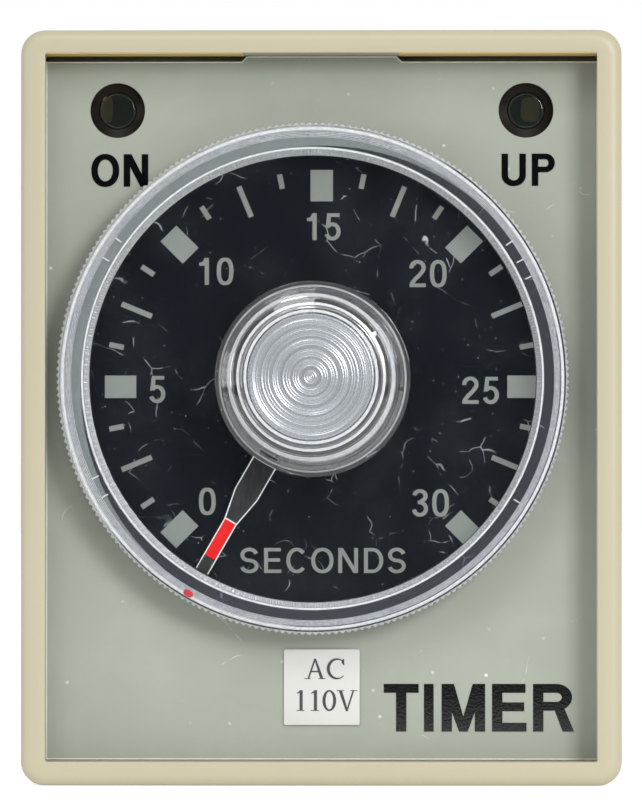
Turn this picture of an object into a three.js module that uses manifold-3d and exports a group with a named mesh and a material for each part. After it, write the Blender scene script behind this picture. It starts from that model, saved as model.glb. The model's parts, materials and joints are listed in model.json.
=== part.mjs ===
// Plug-in analogue timer relay: an ivory case with a recessed front plate and dial, a clear
// turning knob on a potentiometer, two lamps, a sandwich of circuit boards with a relay, and
// an octal base whose eight pins go in a relay socket.
//
// Millimetres, +Z up. The front faces -Y. The finished group has its origin at the middle of
// the underside of the object's box. Inside the groups below, y is the depth behind the front
// edge of the case, and x and z are measured from the middle of the front.

import * as THREE from 'three';
import { mergeVertices } from 'three/addons/utils/BufferGeometryUtils.js';
import Module from 'manifold-3d';

const wasm = await Module();
wasm.setup();

// Overall sizes.
const FACE_WIDTH = 40;
const FACE_HEIGHT = 50.3;
const KNOB_PROUD = 6;
const BODY_DEPTH = 58;
const SPIGOT_LENGTH = 14;

// Case and front.
const FRAME_DEPTH = 4.5;
const FRAME_RADIUS = 1.6;
const FRAME_EDGE = 0.7;
const BODY_STEP = 0.7;
const WALL = 1.5;
const CASE_BACK = 52.6;
const OPENING = { width: 36.7, height: 47, z: -0.05 };
const PLATE = { width: 36.5, height: 46.5, z: -0.25, front: 3.5, back: 5 };
const TAB = { width: 10, height: 0.42 };
const LABEL_FRONT = 3.25;
const LABEL_BACK = 3.45;
const LAMP = { x: 13.67, z: 19.94, hole: 1.84 };
const STICKER = { size: 5.08, z: -18.66, front: 3.08, back: 3.2 };
const CLIP_GROOVE = { depth: 0.8, length: 12, front: 9, back: 11.5 };

// Knob and potentiometer, on one axis a little left of and above the middle.
const KNOB_AXIS = { x: -0.57, z: 1.93 };
const KNOB_RADIUS = 17.1;
const SHAFT_RADIUS = 3;
const BUSHING_RADIUS = 3.5;
const POINTER_STOP = THREE.MathUtils.degToRad(-150);
const RUNNING_GAP = 0.12;

// Boards.
const BOARD = 1.6;
const FRONT_BOARD_FRONT = 13.2;
const SIDE_BOARD = { face: 13.6, front: 15.2, back: 50.9, height: 41 };
const BASE_BOARD_FRONT = 49;
const BOARD_GAP = 0.15;

// Relay, standing on the main board.
const RELAY = { x: -SIDE_BOARD.face + 0.3, depth: 38, z: 3, width: 20, length: 27, height: 17.5 };

// Octal base.
const BASE_FLANGE = 5;
const PIN_CIRCLE = 17.45;
const PIN_RADIUS = 1.18;
const PIN_LENGTH = 11;
const PIN_COUNT = 8;
const SPIGOT_RADIUS = 3.95;
const SCREW_Z = 20.4;

const FRONT_Y = KNOB_PROUD - (KNOB_PROUD + BODY_DEPTH + SPIGOT_LENGTH) / 2;

const finish = (color, roughness, metalness) => (
  new THREE.MeshStandardMaterial({ color, roughness, metalness })
);

const FINISH = {
  ivory: finish('#d2ccb0', 0.45, 0),
  plate: finish('#8f958c', 0.6, 0),
  label: finish('#a7ada3', 0.5, 0),
  paper: finish('#e8e8e4', 0.9, 0),
  clear: finish('#dfe4e8', 0.08, 0),
  lamp: finish('#3c4a42', 0.15, 0),
  black: finish('#1b1c1e', 0.5, 0),
  laminate: finish('#3f6a45', 0.6, 0),
  phenolic: finish('#a9824c', 0.7, 0),
  nickel: finish('#c9c6bd', 0.3, 1),
  brass: finish('#c9a450', 0.35, 1),
  copper: finish('#b4653a', 0.4, 1),
  iron: finish('#a3a5a8', 0.45, 1),
  zinc: finish('#b9bcc0', 0.4, 1),
  red: finish('#8c2f22', 0.45, 0),
  blue: finish('#27426e', 0.4, 0),
  resistor: finish('#9db7b5', 0.6, 0),
};

// ---------------------------------------------------------------- solids

/** A closed geometry as a solid that can be joined and cut. */
function solid(geometry) {
  const bare = geometry.clone();
  bare.deleteAttribute('normal');
  bare.deleteAttribute('uv');
  const welded = mergeVertices(bare, 1e-4);
  const triVerts = new Uint32Array(welded.index.array);
  const vertProperties = welded.attributes.position.array;
  return new wasm.Manifold(new wasm.Mesh({ numProp: 3, vertProperties, triVerts }));
}

/** The geometry of a solid. */
function geometryOf(body) {
  const mesh = body.getMesh();
  const geometry = new THREE.BufferGeometry();
  geometry.setAttribute('position', new THREE.BufferAttribute(mesh.vertProperties, 3));
  geometry.setIndex(new THREE.BufferAttribute(mesh.triVerts, 1));
  return geometry.toNonIndexed();
}

/** One geometry with others joined to it. */
function joined(first, ...others) {
  return geometryOf(others.reduce((body, other) => body.add(solid(other)), solid(first)));
}

/** One geometry with others cut from it. */
function cut(first, ...tools) {
  return geometryOf(tools.reduce((body, tool) => body.subtract(solid(tool)), solid(first)));
}

/** A box: its middle in x and z, and its near face in y. */
function block(width, depth, height, x = 0, front = 0, z = 0) {
  return new THREE.BoxGeometry(width, depth, height).translate(x, front + depth / 2, z);
}

/** A round bar along y. */
function rod(radius, front, back, x = 0, z = 0, sides = 24) {
  const bar = new THREE.CylinderGeometry(radius, radius, back - front, sides);
  return bar.translate(x, (front + back) / 2, z);
}

/** A ring or a body turned about the y axis, from a profile of [radius, y] points. */
function turned(profile, sides = 24) {
  const points = profile.map(([radius, y]) => new THREE.Vector2(radius, y));
  if (THREE.ShapeUtils.area(points) < 0) points.reverse();
  if (points[0].x > 0) points.push(points[0].clone());
  return new THREE.LatheGeometry(points, sides);
}

/** A tube along y: a ring with square ends. */
function tube(inner, outer, front, back, sides = 24) {
  return turned([[inner, front], [outer, front], [outer, back], [inner, back]], sides);
}

/** A rectangle with rounded corners, about (x, z). */
function roundedOutline(width, height, radius, x = 0, z = 0) {
  const shape = new THREE.Shape();
  const right = x + width / 2 - radius;
  const top = z + height / 2 - radius;
  const left = x - width / 2 + radius;
  const bottom = z - height / 2 + radius;
  shape.absarc(right, top, radius, 0, Math.PI / 2);
  shape.absarc(left, top, radius, Math.PI / 2, Math.PI);
  shape.absarc(left, bottom, radius, Math.PI, Math.PI * 1.5);
  shape.absarc(right, bottom, radius, Math.PI * 1.5, Math.PI * 2);
  return shape;
}

/** A circle in the x-z plane. */
function circle(radius, x = 0, z = 0) {
  return new THREE.Path().absarc(x, z, radius, 0, Math.PI * 2);
}

/** A flat plate between two depths, its outline drawn in the x-z plane. */
function slab(outline, front, back, curveSegments = 6) {
  const options = { depth: back - front, bevelEnabled: false, curveSegments };
  return new THREE.ExtrudeGeometry(outline, options).rotateX(Math.PI / 2).translate(0, back, 0);
}

/** A slab whose rims are rounded over. */
function softSlab(outline, front, back, edge, curveSegments = 5) {
  const options = {
    depth: back - front - 2 * edge,
    bevelThickness: edge,
    bevelSize: edge,
    bevelOffset: -edge,
    bevelSegments: 3,
    curveSegments,
  };
  return new THREE.ExtrudeGeometry(outline, options)
    .rotateX(Math.PI / 2)
    .translate(0, back - edge, 0);
}

/** A named piece. */
function piece(name, geometry, material) {
  const mesh = new THREE.Mesh(geometry, material);
  mesh.name = name;
  return mesh;
}

/** Pieces gathered at one place. */
function gather(x, y, z, ...pieces) {
  const group = new THREE.Group();
  group.add(...pieces);
  group.position.set(x, y, z);
  return group;
}

// ---------------------------------------------------------------- case and front

const bodyWidth = FACE_WIDTH - 2 * BODY_STEP;
const bodyHeight = FACE_HEIGHT - 2 * BODY_STEP;

/** One ivory moulding: front frame, four walls and two screw bosses. */
function caseShell() {
  const frame = softSlab(
    roundedOutline(FACE_WIDTH, FACE_HEIGHT, FRAME_RADIUS), 0, FRAME_DEPTH, FRAME_EDGE);
  const walls = slab(roundedOutline(bodyWidth, bodyHeight, 1.4), FRAME_DEPTH - 1, CASE_BACK);
  const cavityWidth = bodyWidth - 2 * WALL;
  const cavityHeight = bodyHeight - 2 * WALL;
  const cavity = slab(roundedOutline(cavityWidth, cavityHeight, 0.6), PLATE.back, CASE_BACK + 1);
  const mouth = slab(
    roundedOutline(OPENING.width, OPENING.height, 0.35, 0, OPENING.z), -1, PLATE.back + 0.15);
  const grooves = [-1, 1].map((side) => block(
    CLIP_GROOVE.depth, CLIP_GROOVE.back - CLIP_GROOVE.front, CLIP_GROOVE.length,
    side * (bodyWidth - CLIP_GROOVE.depth + 0.1) / 2, CLIP_GROOVE.front, 0));
  const bosses = [-1, 1].map((side) => rod(3, 42, CASE_BACK, 0, side * SCREW_Z));
  const screwHoles = [-1, 1].map((side) => rod(1.6, 41, CASE_BACK + 1, 0, side * SCREW_Z, 16));
  const shell = cut(joined(frame, walls), mouth, cavity, ...grooves);
  return piece('case', cut(joined(shell, ...bosses), ...screwHoles), FINISH.ivory);
}

/** The outline shared by the plate and its label: square corners and a lug at the top. */
function plateOutline() {
  const right = PLATE.width / 2;
  const top = PLATE.z + PLATE.height / 2;
  const bottom = PLATE.z - PLATE.height / 2;
  const outline = new THREE.Shape();
  outline.moveTo(-right, bottom);
  outline.lineTo(right, bottom);
  outline.lineTo(right, top);
  outline.lineTo(TAB.width / 2 + TAB.height, top);
  outline.lineTo(TAB.width / 2, top + TAB.height);
  outline.lineTo(-TAB.width / 2, top + TAB.height);
  outline.lineTo(-TAB.width / 2 - TAB.height, top);
  outline.lineTo(-right, top);
  outline.holes = [
    circle(LAMP.hole, -LAMP.x, LAMP.z),
    circle(LAMP.hole, LAMP.x, LAMP.z),
  ];
  return outline;
}

/** The front plate, the printed label on it and the rating sticker on the label. */
function front() {
  const plate = plateOutline();
  plate.holes.push(circle(BUSHING_RADIUS + 0.2, KNOB_AXIS.x, KNOB_AXIS.z));
  const label = plateOutline();
  label.holes.push(circle(BUSHING_RADIUS + 0.3, KNOB_AXIS.x, KNOB_AXIS.z));
  const sticker = block(
    STICKER.size, STICKER.back - STICKER.front, STICKER.size, 0, STICKER.front, STICKER.z);
  return [
    piece('front_plate', slab(plate, PLATE.front, PLATE.back), FINISH.plate),
    piece('face_label', slab(label, LABEL_FRONT, LABEL_BACK), FINISH.label),
    piece('rating_sticker', sticker, FINISH.paper),
  ];
}

/** A round lamp behind its hole, on a spacer that stands on the front board. */
function lamp(name, side) {
  const lens = turned([
    [0, 3.7], [0.75, 3.88], [1.3, 4.4], [1.5, 5.2], [1.5, 8.4], [1.9, 8.4], [1.9, 9.4], [0, 9.4],
  ], 20);
  const spacer = tube(1.2, 2.2, 9.6, FRONT_BOARD_FRONT - BOARD_GAP, 16);
  return gather(side * LAMP.x, 0, LAMP.z,
    piece(name, lens, FINISH.lamp),
    piece(name + '_spacer', spacer, FINISH.black));
}

// ---------------------------------------------------------------- knob and potentiometer

/** The clear knob: knurled rim, sunk flat disc, turned grip, and the pointer groove behind. */
function knob() {
  const discBack = LABEL_FRONT - 0.7;
  const discFront = LABEL_FRONT - 2.2;
  const bore = SHAFT_RADIUS + RUNNING_GAP;
  const body = turned([
    [0, -3.95], [bore, -3.95], [bore, 0], [3.9, 0], [3.9, 0.6], [5.2, 0.6], [5.2, discBack],
    [15.7, discBack], [15.9, 2.85], [16.8, 2.85], [KNOB_RADIUS, 2.6], [KNOB_RADIUS, 0.35],
    [16.75, -0.1], [15.35, -0.1], [14.85, discFront],
    [6.45, discFront], [6.1, 0.75], [5.85, 0.1], [5.25, -5.1], [5.05, -5.65], [4.5, -6], [0, -6],
  ], 54);
  const groove = new THREE.Shape();
  groove.moveTo(-0.8, 6.1);
  groove.lineTo(0.8, 6.1);
  groove.lineTo(0.8, 8.9);
  groove.lineTo(0.4, 11);
  groove.lineTo(0.4, 14.2);
  groove.lineTo(-0.4, 14.2);
  groove.lineTo(-0.4, 11);
  groove.lineTo(-0.8, 8.9);
  const tool = slab(groove, discBack - 0.45, discBack + 0.1).rotateY(POINTER_STOP);
  return piece('knob', cut(body, tool), FINISH.clear);
}

/** The potentiometer that the knob turns, with its washer and nut in front of the plate. */
function potentiometer() {
  const can = turned([
    [SHAFT_RADIUS + 0.2, 5.65], [7.9, 5.65], [8.2, 5.95], [8.2, 12.2], [7.5, 12.2], [7.5, 6.4],
    [SHAFT_RADIUS + 0.2, 6.4],
  ], 32);
  const bushing = turned([
    [SHAFT_RADIUS + RUNNING_GAP, 0.3], [3.3, 0.3], [BUSHING_RADIUS, 0.5],
    [BUSHING_RADIUS, 5.15], [5, 5.15], [5, 5.5], [SHAFT_RADIUS + RUNNING_GAP, 5.5],
  ]);
  const shaft = turned([[0, -3.8], [2.7, -3.8], [SHAFT_RADIUS, -3.5], [SHAFT_RADIUS, 8.6], [0, 8.6]]);
  const wiper = joined(tube(SHAFT_RADIUS + 0.15, 6.8, 7, 8.4), block(1.6, 3.3, 1.6, 0, 8.3, 5.2));
  const tongue = block(9, 0.7, 5, 0, 12.4, -9);
  const wafer = joined(rod(8, 12.4, 13.1, 0, 0, 32), tongue);
  const nut = cut(rod(4.9, 0.9, 2.5, 0, 0, 6), rod(BUSHING_RADIUS + 0.12, 0, 3));
  return gather(KNOB_AXIS.x, 0, KNOB_AXIS.z,
    knob(),
    piece('pot_can', can, FINISH.zinc),
    piece('pot_bushing', bushing, FINISH.brass),
    piece('pot_shaft', shaft, FINISH.nickel),
    piece('pot_rotor', wiper, FINISH.black),
    piece('pot_wafer', wafer, FINISH.phenolic),
    piece('pot_washer', tube(BUSHING_RADIUS + 0.15, 4.95, 2.7, 3.1), FINISH.nickel),
    piece('pot_nut', nut, FINISH.nickel));
}

// ---------------------------------------------------------------- boards and their parts

/** The front board, the two side boards and the board that the pins are soldered to. */
function boards() {
  const frontBoard = block(34.6, BOARD, 44.6, 0, FRONT_BOARD_FRONT);
  const side = (direction) => block(
    BOARD, SIDE_BOARD.back - SIDE_BOARD.front, SIDE_BOARD.height,
    direction * (SIDE_BOARD.face + BOARD / 2), SIDE_BOARD.front);
  const outline = roundedOutline(26.6, 30, 2);
  outline.holes = pinPlaces().map(([x, z]) => circle(PIN_RADIUS + 0.15, x, z));
  const baseBoard = slab(outline, BASE_BOARD_FRONT, BASE_BOARD_FRONT + BOARD, 4);
  return [
    piece('front_board', frontBoard, FINISH.laminate),
    piece('main_board', side(-1), FINISH.laminate),
    piece('supply_board', side(1), FINISH.laminate),
    piece('base_board', baseBoard, FINISH.phenolic),
  ];
}

/** Places a part, made with its foot at y = 0, on the inner face of a side board. */
function mounted(part, direction, depth, z) {
  part.position.set(direction * (SIDE_BOARD.face - BOARD_GAP), depth, z);
  part.rotation.z = direction * Math.PI / 2;
  return part;
}

/** A round can with a rolled groove near its foot, such as an electrolytic capacitor. */
function can(radius, height) {
  const groove = radius * 0.06;
  return turned([
    [0, 0], [radius - 0.4, 0], [radius, 0.4], [radius, 1.2], [radius - groove, 1.7],
    [radius, 2.2], [radius, height - 0.5], [radius - 0.5, height], [0, height],
  ], 20);
}

/** A resistor lying along z, thick at both ends. */
function resistor(radius, length) {
  const half = length / 2;
  const waist = radius * 0.85;
  return turned([
    [0, -half], [radius - 0.5, -half], [radius, 0.6 - half], [radius, 2 - half],
    [waist, 2.6 - half], [waist, half - 2.6], [radius, half - 2], [radius, half - 0.6],
    [radius - 0.5, half], [0, half],
  ], 16).rotateX(Math.PI / 2).translate(0, radius + 1, 0);
}

/** The parts of the supply and of the timing circuit. */
function circuitParts() {
  const filmBox = softSlab(roundedOutline(7.5, 18, 0.8), 0, 12, 0.5, 3);
  const chip = cut(block(6.4, 3.3, 19), rod(0.8, 2.9, 4, 0, 8.6, 12));
  const trimmerBody = cut(block(7, 4.6, 7), rod(2.6, 2.4, 5));
  const trimmerRotor = cut(rod(2.4, 2.6, 5, 0, 0, 20), block(0.7, 1.2, 6, 0, 4.2));
  const bridge = joined(rod(4.4, 0, 5.2), block(0.9, 5.2, 1.6, 4.1));
  return [
    mounted(piece('dropper_capacitor', filmBox, FINISH.red), 1, 21, 7),
    mounted(piece('smoothing_capacitor', can(5, 12.5), FINISH.blue), 1, 22, -12),
    mounted(piece('bridge_rectifier', bridge, FINISH.black), 1, 35, -13),
    mounted(piece('dropper_resistor', resistor(2.2, 11), FINISH.resistor), 1, 36, 6),
    mounted(piece('timing_capacitor', can(3.15, 9), FINISH.blue), -1, 29, -15),
    mounted(piece('timer_chip', chip, FINISH.black), -1, 22, 8),
    mounted(piece('trimmer_body', trimmerBody, FINISH.blue), -1, 21, -12),
    mounted(piece('trimmer_rotor', trimmerRotor, FINISH.nickel), -1, 21, -12),
  ];
}

// ---------------------------------------------------------------- relay

/** An L or other flat outline in the y-z plane, as wide as given along x. */
function strip(points, x, width) {
  const outline = new THREE.Shape(points.map(([z, y]) => new THREE.Vector2(-z, y)));
  const options = { depth: width, bevelEnabled: false };
  return new THREE.ExtrudeGeometry(outline, options)
    .rotateY(Math.PI / 2)
    .translate(x - width / 2, 0, 0);
}

/** One pole's contacts: a moving leaf between an open and a closed fixed contact. */
function contactPole(name, side) {
  const x = side * 6;
  const moving = block(3, 0.3, 3.2, x, 14.3, -10.1);
  const open = strip([[-12.3, 2.4], [-12, 2.4], [-12, 12.6], [-9.8, 12.6], [-9.8, 12.9],
    [-12.3, 12.9]], x, 3);
  const closed = joined(
    block(0.4, 12.7, 2.2, side * 8.4, 2.4, -10.9),
    block(3.8, 0.3, 2.2, side * 6.6, 14.8, -10.9));
  return [
    piece('relay_moving_leaf_' + name, moving, FINISH.copper),
    piece('relay_open_contact_' + name, open, FINISH.brass),
    piece('relay_closed_contact_' + name, closed, FINISH.brass),
  ];
}

/** A two-pole changeover relay: y is the height above its foot, z runs along its length. */
function relay() {
  const coverFoot = 2.2;
  const shell = softSlab(
    roundedOutline(RELAY.width, RELAY.length, 1), coverFoot - 1, RELAY.height, 0.4, 3);
  const room = slab(roundedOutline(RELAY.width - 1.8, RELAY.length - 1.8, 0.4), 0, 16.6, 3);
  const below = block(RELAY.width + 2, 2, RELAY.length + 2, 0, coverFoot - 2);
  // Turned end for end, so that the cover is closed at the top and open at the foot.
  const yoke = strip([[-7, 2.3], [7.4, 2.3], [7.4, 12.8], [6.2, 12.8], [6.2, 3.5], [-7, 3.5]], 0, 9);
  const core = turned([[0, 3.7], [2, 3.7], [2, 11.8], [3.5, 11.8], [3.5, 12.6], [0, 12.6]], 20);
  const bobbin = turned([
    [2.2, 3.8], [5.2, 3.8], [5.2, 4.6], [2.9, 4.6], [2.9, 10.6], [5.2, 10.6], [5.2, 11.4],
    [2.2, 11.4],
  ]);
  const spring = block(3, 6.6, 0.2, 0, 6, 7.8);
  const group = gather(RELAY.x, RELAY.depth, RELAY.z,
    piece('relay_base', block(RELAY.width, 2, RELAY.length), FINISH.black),
    piece('relay_cover', cut(shell, room, below), FINISH.clear),
    piece('relay_yoke', yoke, FINISH.iron),
    piece('relay_core', core, FINISH.iron),
    piece('relay_bobbin', bobbin, FINISH.black),
    piece('relay_winding', tube(3.1, 4.9, 4.8, 10.4), FINISH.copper),
    piece('relay_return_spring', spring, FINISH.nickel),
    piece('relay_armature', block(8.6, 1, 14, 0, 13.4, 1.4), FINISH.iron),
    piece('relay_contact_carrier', block(15.6, 2, 2.3, 0, 13.5, -7.05), FINISH.ivory),
    ...contactPole('left', 1),
    ...contactPole('right', -1));
  group.rotation.z = -Math.PI / 2;
  return group;
}

// ---------------------------------------------------------------- octal base

/** The places of the eight pins, from pin 1 beside the key, which points down. */
function pinPlaces() {
  return Array.from({ length: PIN_COUNT }, (_, index) => {
    const angle = Math.PI + (index + 0.5) * 2 * Math.PI / PIN_COUNT;
    return [Math.sin(angle) * PIN_CIRCLE / 2, Math.cos(angle) * PIN_CIRCLE / 2];
  });
}

/** The black base: a flange that closes the case, a step inside it, the spigot and its key. */
function octalBase() {
  const seat = BODY_DEPTH;
  const tip = seat + SPIGOT_LENGTH;
  const flange = softSlab(
    roundedOutline(bodyWidth, bodyHeight, 1.4), seat - BASE_FLANGE, seat, 0.3, 4);
  const step = block(34.6, 2, 33, 0, seat - BASE_FLANGE - 1.7);
  const spigot = turned([
    [0, seat - 1], [SPIGOT_RADIUS, seat - 1], [SPIGOT_RADIUS, tip - 1.5],
    [SPIGOT_RADIUS - 1, tip], [0, tip],
  ]);
  const key = block(2, SPIGOT_LENGTH - 1, 2, 0, seat - 0.5, -SPIGOT_RADIUS);
  const pinHoles = pinPlaces().map(([x, z]) => (
    rod(PIN_RADIUS + 0.12, seat - BASE_FLANGE - 3, seat + 1, x, z, 16)));
  const screwHoles = [-1, 1].map((side) => rod(1.7, 50, seat + 1, 0, side * SCREW_Z, 16));
  const screwHeads = [-1, 1].map((side) => (
    rod(3.1, seat - 2.2, seat + 1, 0, side * SCREW_Z, 20)));
  const body = cut(joined(flange, step, spigot, key), ...pinHoles, ...screwHoles, ...screwHeads);
  const pins = pinPlaces().map(([x, z], index) => gather(x, 0, z,
    piece('pin_' + (index + 1), pin(), FINISH.nickel)));
  return [piece('octal_base', body, FINISH.black), ...pins];
}

/** A contact pin with a round nose, from its solder end on the base board. */
function pin() {
  const nose = BODY_DEPTH + PIN_LENGTH;
  return turned([
    [0, 48.5], [PIN_RADIUS, 48.5], [PIN_RADIUS, nose - 1], [PIN_RADIUS * 0.75, nose - 0.3],
    [PIN_RADIUS * 0.35, nose], [0, nose],
  ], 14);
}

/** A screw from behind, through the base into a boss of the case, with a slotted pan head. */
function baseScrew(name, side) {
  const head = BODY_DEPTH - 2;
  const screw = turned([
    [0, 44], [1, 44], [1.4, 45], [1.4, head], [2.7, head], [2.7, head + 1.1],
    [2.1, head + 1.7], [0, head + 1.7],
  ], 20);
  const slot = block(0.8, 1, 6, 0, head + 0.8);
  return gather(0, 0, side * SCREW_Z, piece(name, cut(screw, slot), FINISH.zinc));
}

// ---------------------------------------------------------------- assembly

const timer = gather(0, FRONT_Y, FACE_HEIGHT / 2,
  caseShell(),
  ...front(),
  lamp('on_lamp', -1),
  lamp('up_lamp', 1),
  potentiometer(),
  ...boards(),
  ...circuitParts(),
  relay(),
  ...octalBase(),
  baseScrew('base_screw_top', 1),
  baseScrew('base_screw_bottom', -1));

const group = new THREE.Group();
group.add(timer);

export default group;
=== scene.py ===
"""A plug-in lab timer: ivory case, printed front, clear turning knob, lamps and octal plug.

Sizes in the classes below are millimetres. A point is (x, depth, z): x to the right, depth
behind the front edge of the case, z up from the middle of the front. Layout turns such a
point into the row frame, in metres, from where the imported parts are.
"""

from __future__ import annotations

import json
import logging
import math
from collections.abc import Callable, Iterable, Sequence
from dataclasses import dataclass, field
from enum import Enum

import bmesh
import bpy
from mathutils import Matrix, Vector
from mathutils.geometry import delaunay_2d_cdt

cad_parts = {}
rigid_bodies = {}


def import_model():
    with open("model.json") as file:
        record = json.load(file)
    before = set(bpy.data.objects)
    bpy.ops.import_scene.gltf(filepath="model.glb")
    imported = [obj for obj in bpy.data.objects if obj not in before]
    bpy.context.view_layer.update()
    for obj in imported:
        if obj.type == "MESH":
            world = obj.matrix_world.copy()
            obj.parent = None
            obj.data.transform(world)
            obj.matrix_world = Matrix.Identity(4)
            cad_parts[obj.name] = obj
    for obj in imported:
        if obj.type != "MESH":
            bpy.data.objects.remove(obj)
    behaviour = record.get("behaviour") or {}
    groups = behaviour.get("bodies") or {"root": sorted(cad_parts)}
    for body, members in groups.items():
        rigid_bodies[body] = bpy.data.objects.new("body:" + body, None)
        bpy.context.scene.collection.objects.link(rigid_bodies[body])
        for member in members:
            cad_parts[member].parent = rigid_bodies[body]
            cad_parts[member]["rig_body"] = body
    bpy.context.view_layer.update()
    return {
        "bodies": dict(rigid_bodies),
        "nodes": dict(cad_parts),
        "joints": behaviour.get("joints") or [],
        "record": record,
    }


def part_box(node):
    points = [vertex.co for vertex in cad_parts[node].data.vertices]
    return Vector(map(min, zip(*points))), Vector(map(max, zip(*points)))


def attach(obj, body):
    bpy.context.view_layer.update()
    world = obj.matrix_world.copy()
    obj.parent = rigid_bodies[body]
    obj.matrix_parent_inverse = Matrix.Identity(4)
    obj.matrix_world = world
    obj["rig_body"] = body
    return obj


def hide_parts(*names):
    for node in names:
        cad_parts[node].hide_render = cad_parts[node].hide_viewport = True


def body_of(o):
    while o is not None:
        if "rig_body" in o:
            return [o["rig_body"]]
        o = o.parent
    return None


MM = 0.001
log = logging.getLogger("lab_timer")

Point2 = tuple[float, float]
Point3 = tuple[float, float, float]
Outline = list[Point2]

Tree = bpy.types.NodeTree
Socket = bpy.types.NodeSocket
Piece = bpy.types.Object


# ---------------------------------------------------------------- colour and finishes


def linear(code: str) -> tuple[float, float, float, float]:
    """Turns an sRGB hex colour into a linear one with full alpha.

    Args:
        code: The colour as "#rrggbb".

    Returns:
        The linear colour.
    """
    parts = [int(code[i : i + 2], 16) / 255 for i in (1, 3, 5)]
    made = [c / 12.92 if c <= 0.04045 else ((c + 0.055) / 1.055) ** 2.4 for c in parts]
    return (made[0], made[1], made[2], 1.0)


def add_node(
    tree: Tree,
    kind: str,
    inputs: dict | None = None,
    **settings: object,
) -> bpy.types.Node:
    """Adds one node to a tree.

    Args:
        tree: The tree that gets the node.
        kind: The node's type name without the leading "ShaderNode".
        inputs: Socket name or number to a value, or to the output socket it is linked from.
        settings: Properties of the node.

    Returns:
        The new node.
    """
    node = tree.nodes.new("ShaderNode" + kind)
    for name, value in settings.items():
        setattr(node, name, value)
    for socket, value in (inputs or {}).items():
        if isinstance(value, Socket):
            tree.links.new(value, node.inputs[socket])
        else:
            node.inputs[socket].default_value = value
    return node


@dataclass(frozen=True)
class Finish:
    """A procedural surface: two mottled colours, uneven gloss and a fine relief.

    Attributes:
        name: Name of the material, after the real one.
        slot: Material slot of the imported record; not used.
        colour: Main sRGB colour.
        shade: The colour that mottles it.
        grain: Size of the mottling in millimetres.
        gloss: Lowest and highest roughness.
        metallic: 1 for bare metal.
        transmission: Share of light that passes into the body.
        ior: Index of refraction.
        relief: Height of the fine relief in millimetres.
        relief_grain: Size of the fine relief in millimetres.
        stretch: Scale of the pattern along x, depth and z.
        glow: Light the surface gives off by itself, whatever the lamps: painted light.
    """

    name: str
    slot: str
    colour: str
    shade: str
    grain: float = 4.0
    gloss: tuple[float, float] = (0.4, 0.5)
    metallic: float = 0.0
    transmission: float = 0.0
    ior: float = 1.5
    relief: float = 0.004
    relief_grain: float = 0.25
    stretch: Point3 = (1.0, 1.0, 1.0)
    glow: float = 0.0

    def material(self) -> bpy.types.Material:
        """Returns the material of this finish, made the first time it is asked for.

        Returns:
            The material with its node tree.
        """
        found = bpy.data.materials.get(self.name)
        if found is not None:
            return found
        material = bpy.data.materials.new(self.name)
        material.use_nodes = True
        tree = material.node_tree
        tree.nodes.clear()
        place = add_node(tree, "TexCoord").outputs["Object"]
        place = add_node(
            tree, "Mapping", {"Vector": place, "Scale": self.stretch}
        ).outputs["Vector"]
        mottle = self._noise(tree, place, self.grain)
        inputs = {
            "Base Color": self._colour(tree, place, mottle),
            "Roughness": self._roughness(tree, mottle),
            "Metallic": self.metallic,
            "Transmission Weight": self.transmission,
            "Normal": self._normal(tree, place),
        }
        if not self.metallic:
            inputs["IOR"] = self.ior
        # A glow is painted light: it shines whatever the lamps.
        if self.glow:
            inputs["Emission Color"] = linear(self.colour)
            inputs["Emission Strength"] = self.glow
        shader = add_node(tree, "BsdfPrincipled", inputs)
        add_node(tree, "OutputMaterial", {"Surface": shader.outputs["BSDF"]})
        return material

    def _noise(self, tree: Tree, place: Socket, grain: float) -> Socket:
        """Smooth noise whose spots are about grain millimetres across.

        Args:
            tree: The material's node tree.
            place: Coordinates of the pattern.
            grain: Size of a spot in millimetres.

        Returns:
            The noise, from 0 to 1.
        """
        return add_node(
            tree, "TexNoise", {"Vector": place, "Scale": 1 / (grain * MM), "Detail": 3.0}
        ).outputs["Fac"]

    def _roughness(self, tree: Tree, mottle: Socket) -> Socket:
        """Uneven gloss that follows the mottling.

        Args:
            tree: The material's node tree.
            mottle: The mottling, from 0 to 1.

        Returns:
            The roughness.
        """
        low, high = self.gloss
        return add_node(
            tree, "MapRange", {"Value": mottle, "To Min": low, "To Max": high}
        ).outputs["Result"]

    def _colour(self, tree: Tree, place: Socket, mottle: Socket) -> Socket:
        """The two colours mixed by the mottling.

        Args:
            tree: The material's node tree.
            place: Coordinates of the pattern.
            mottle: The mottling, from 0 to 1.

        Returns:
            The colour.
        """
        return add_node(
            tree,
            "Mix",
            {0: mottle, 6: linear(self.colour), 7: linear(self.shade)},
            data_type="RGBA",
        ).outputs[2]

    def _relief(self, tree: Tree, place: Socket) -> Socket:
        """The height field of the fine relief."""
        return self._noise(tree, place, self.relief_grain)

    def _normal(self, tree: Tree, place: Socket) -> Socket:
        """The normal bent by the fine relief.

        Args:
            tree: The material's node tree.
            place: Coordinates of the pattern.

        Returns:
            The normal.
        """
        return add_node(
            tree,
            "Bump",
            {
                "Height": self._relief(tree, place),
                "Distance": self.relief * MM,
                "Strength": 1.0,
            },
        ).outputs["Normal"]


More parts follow.
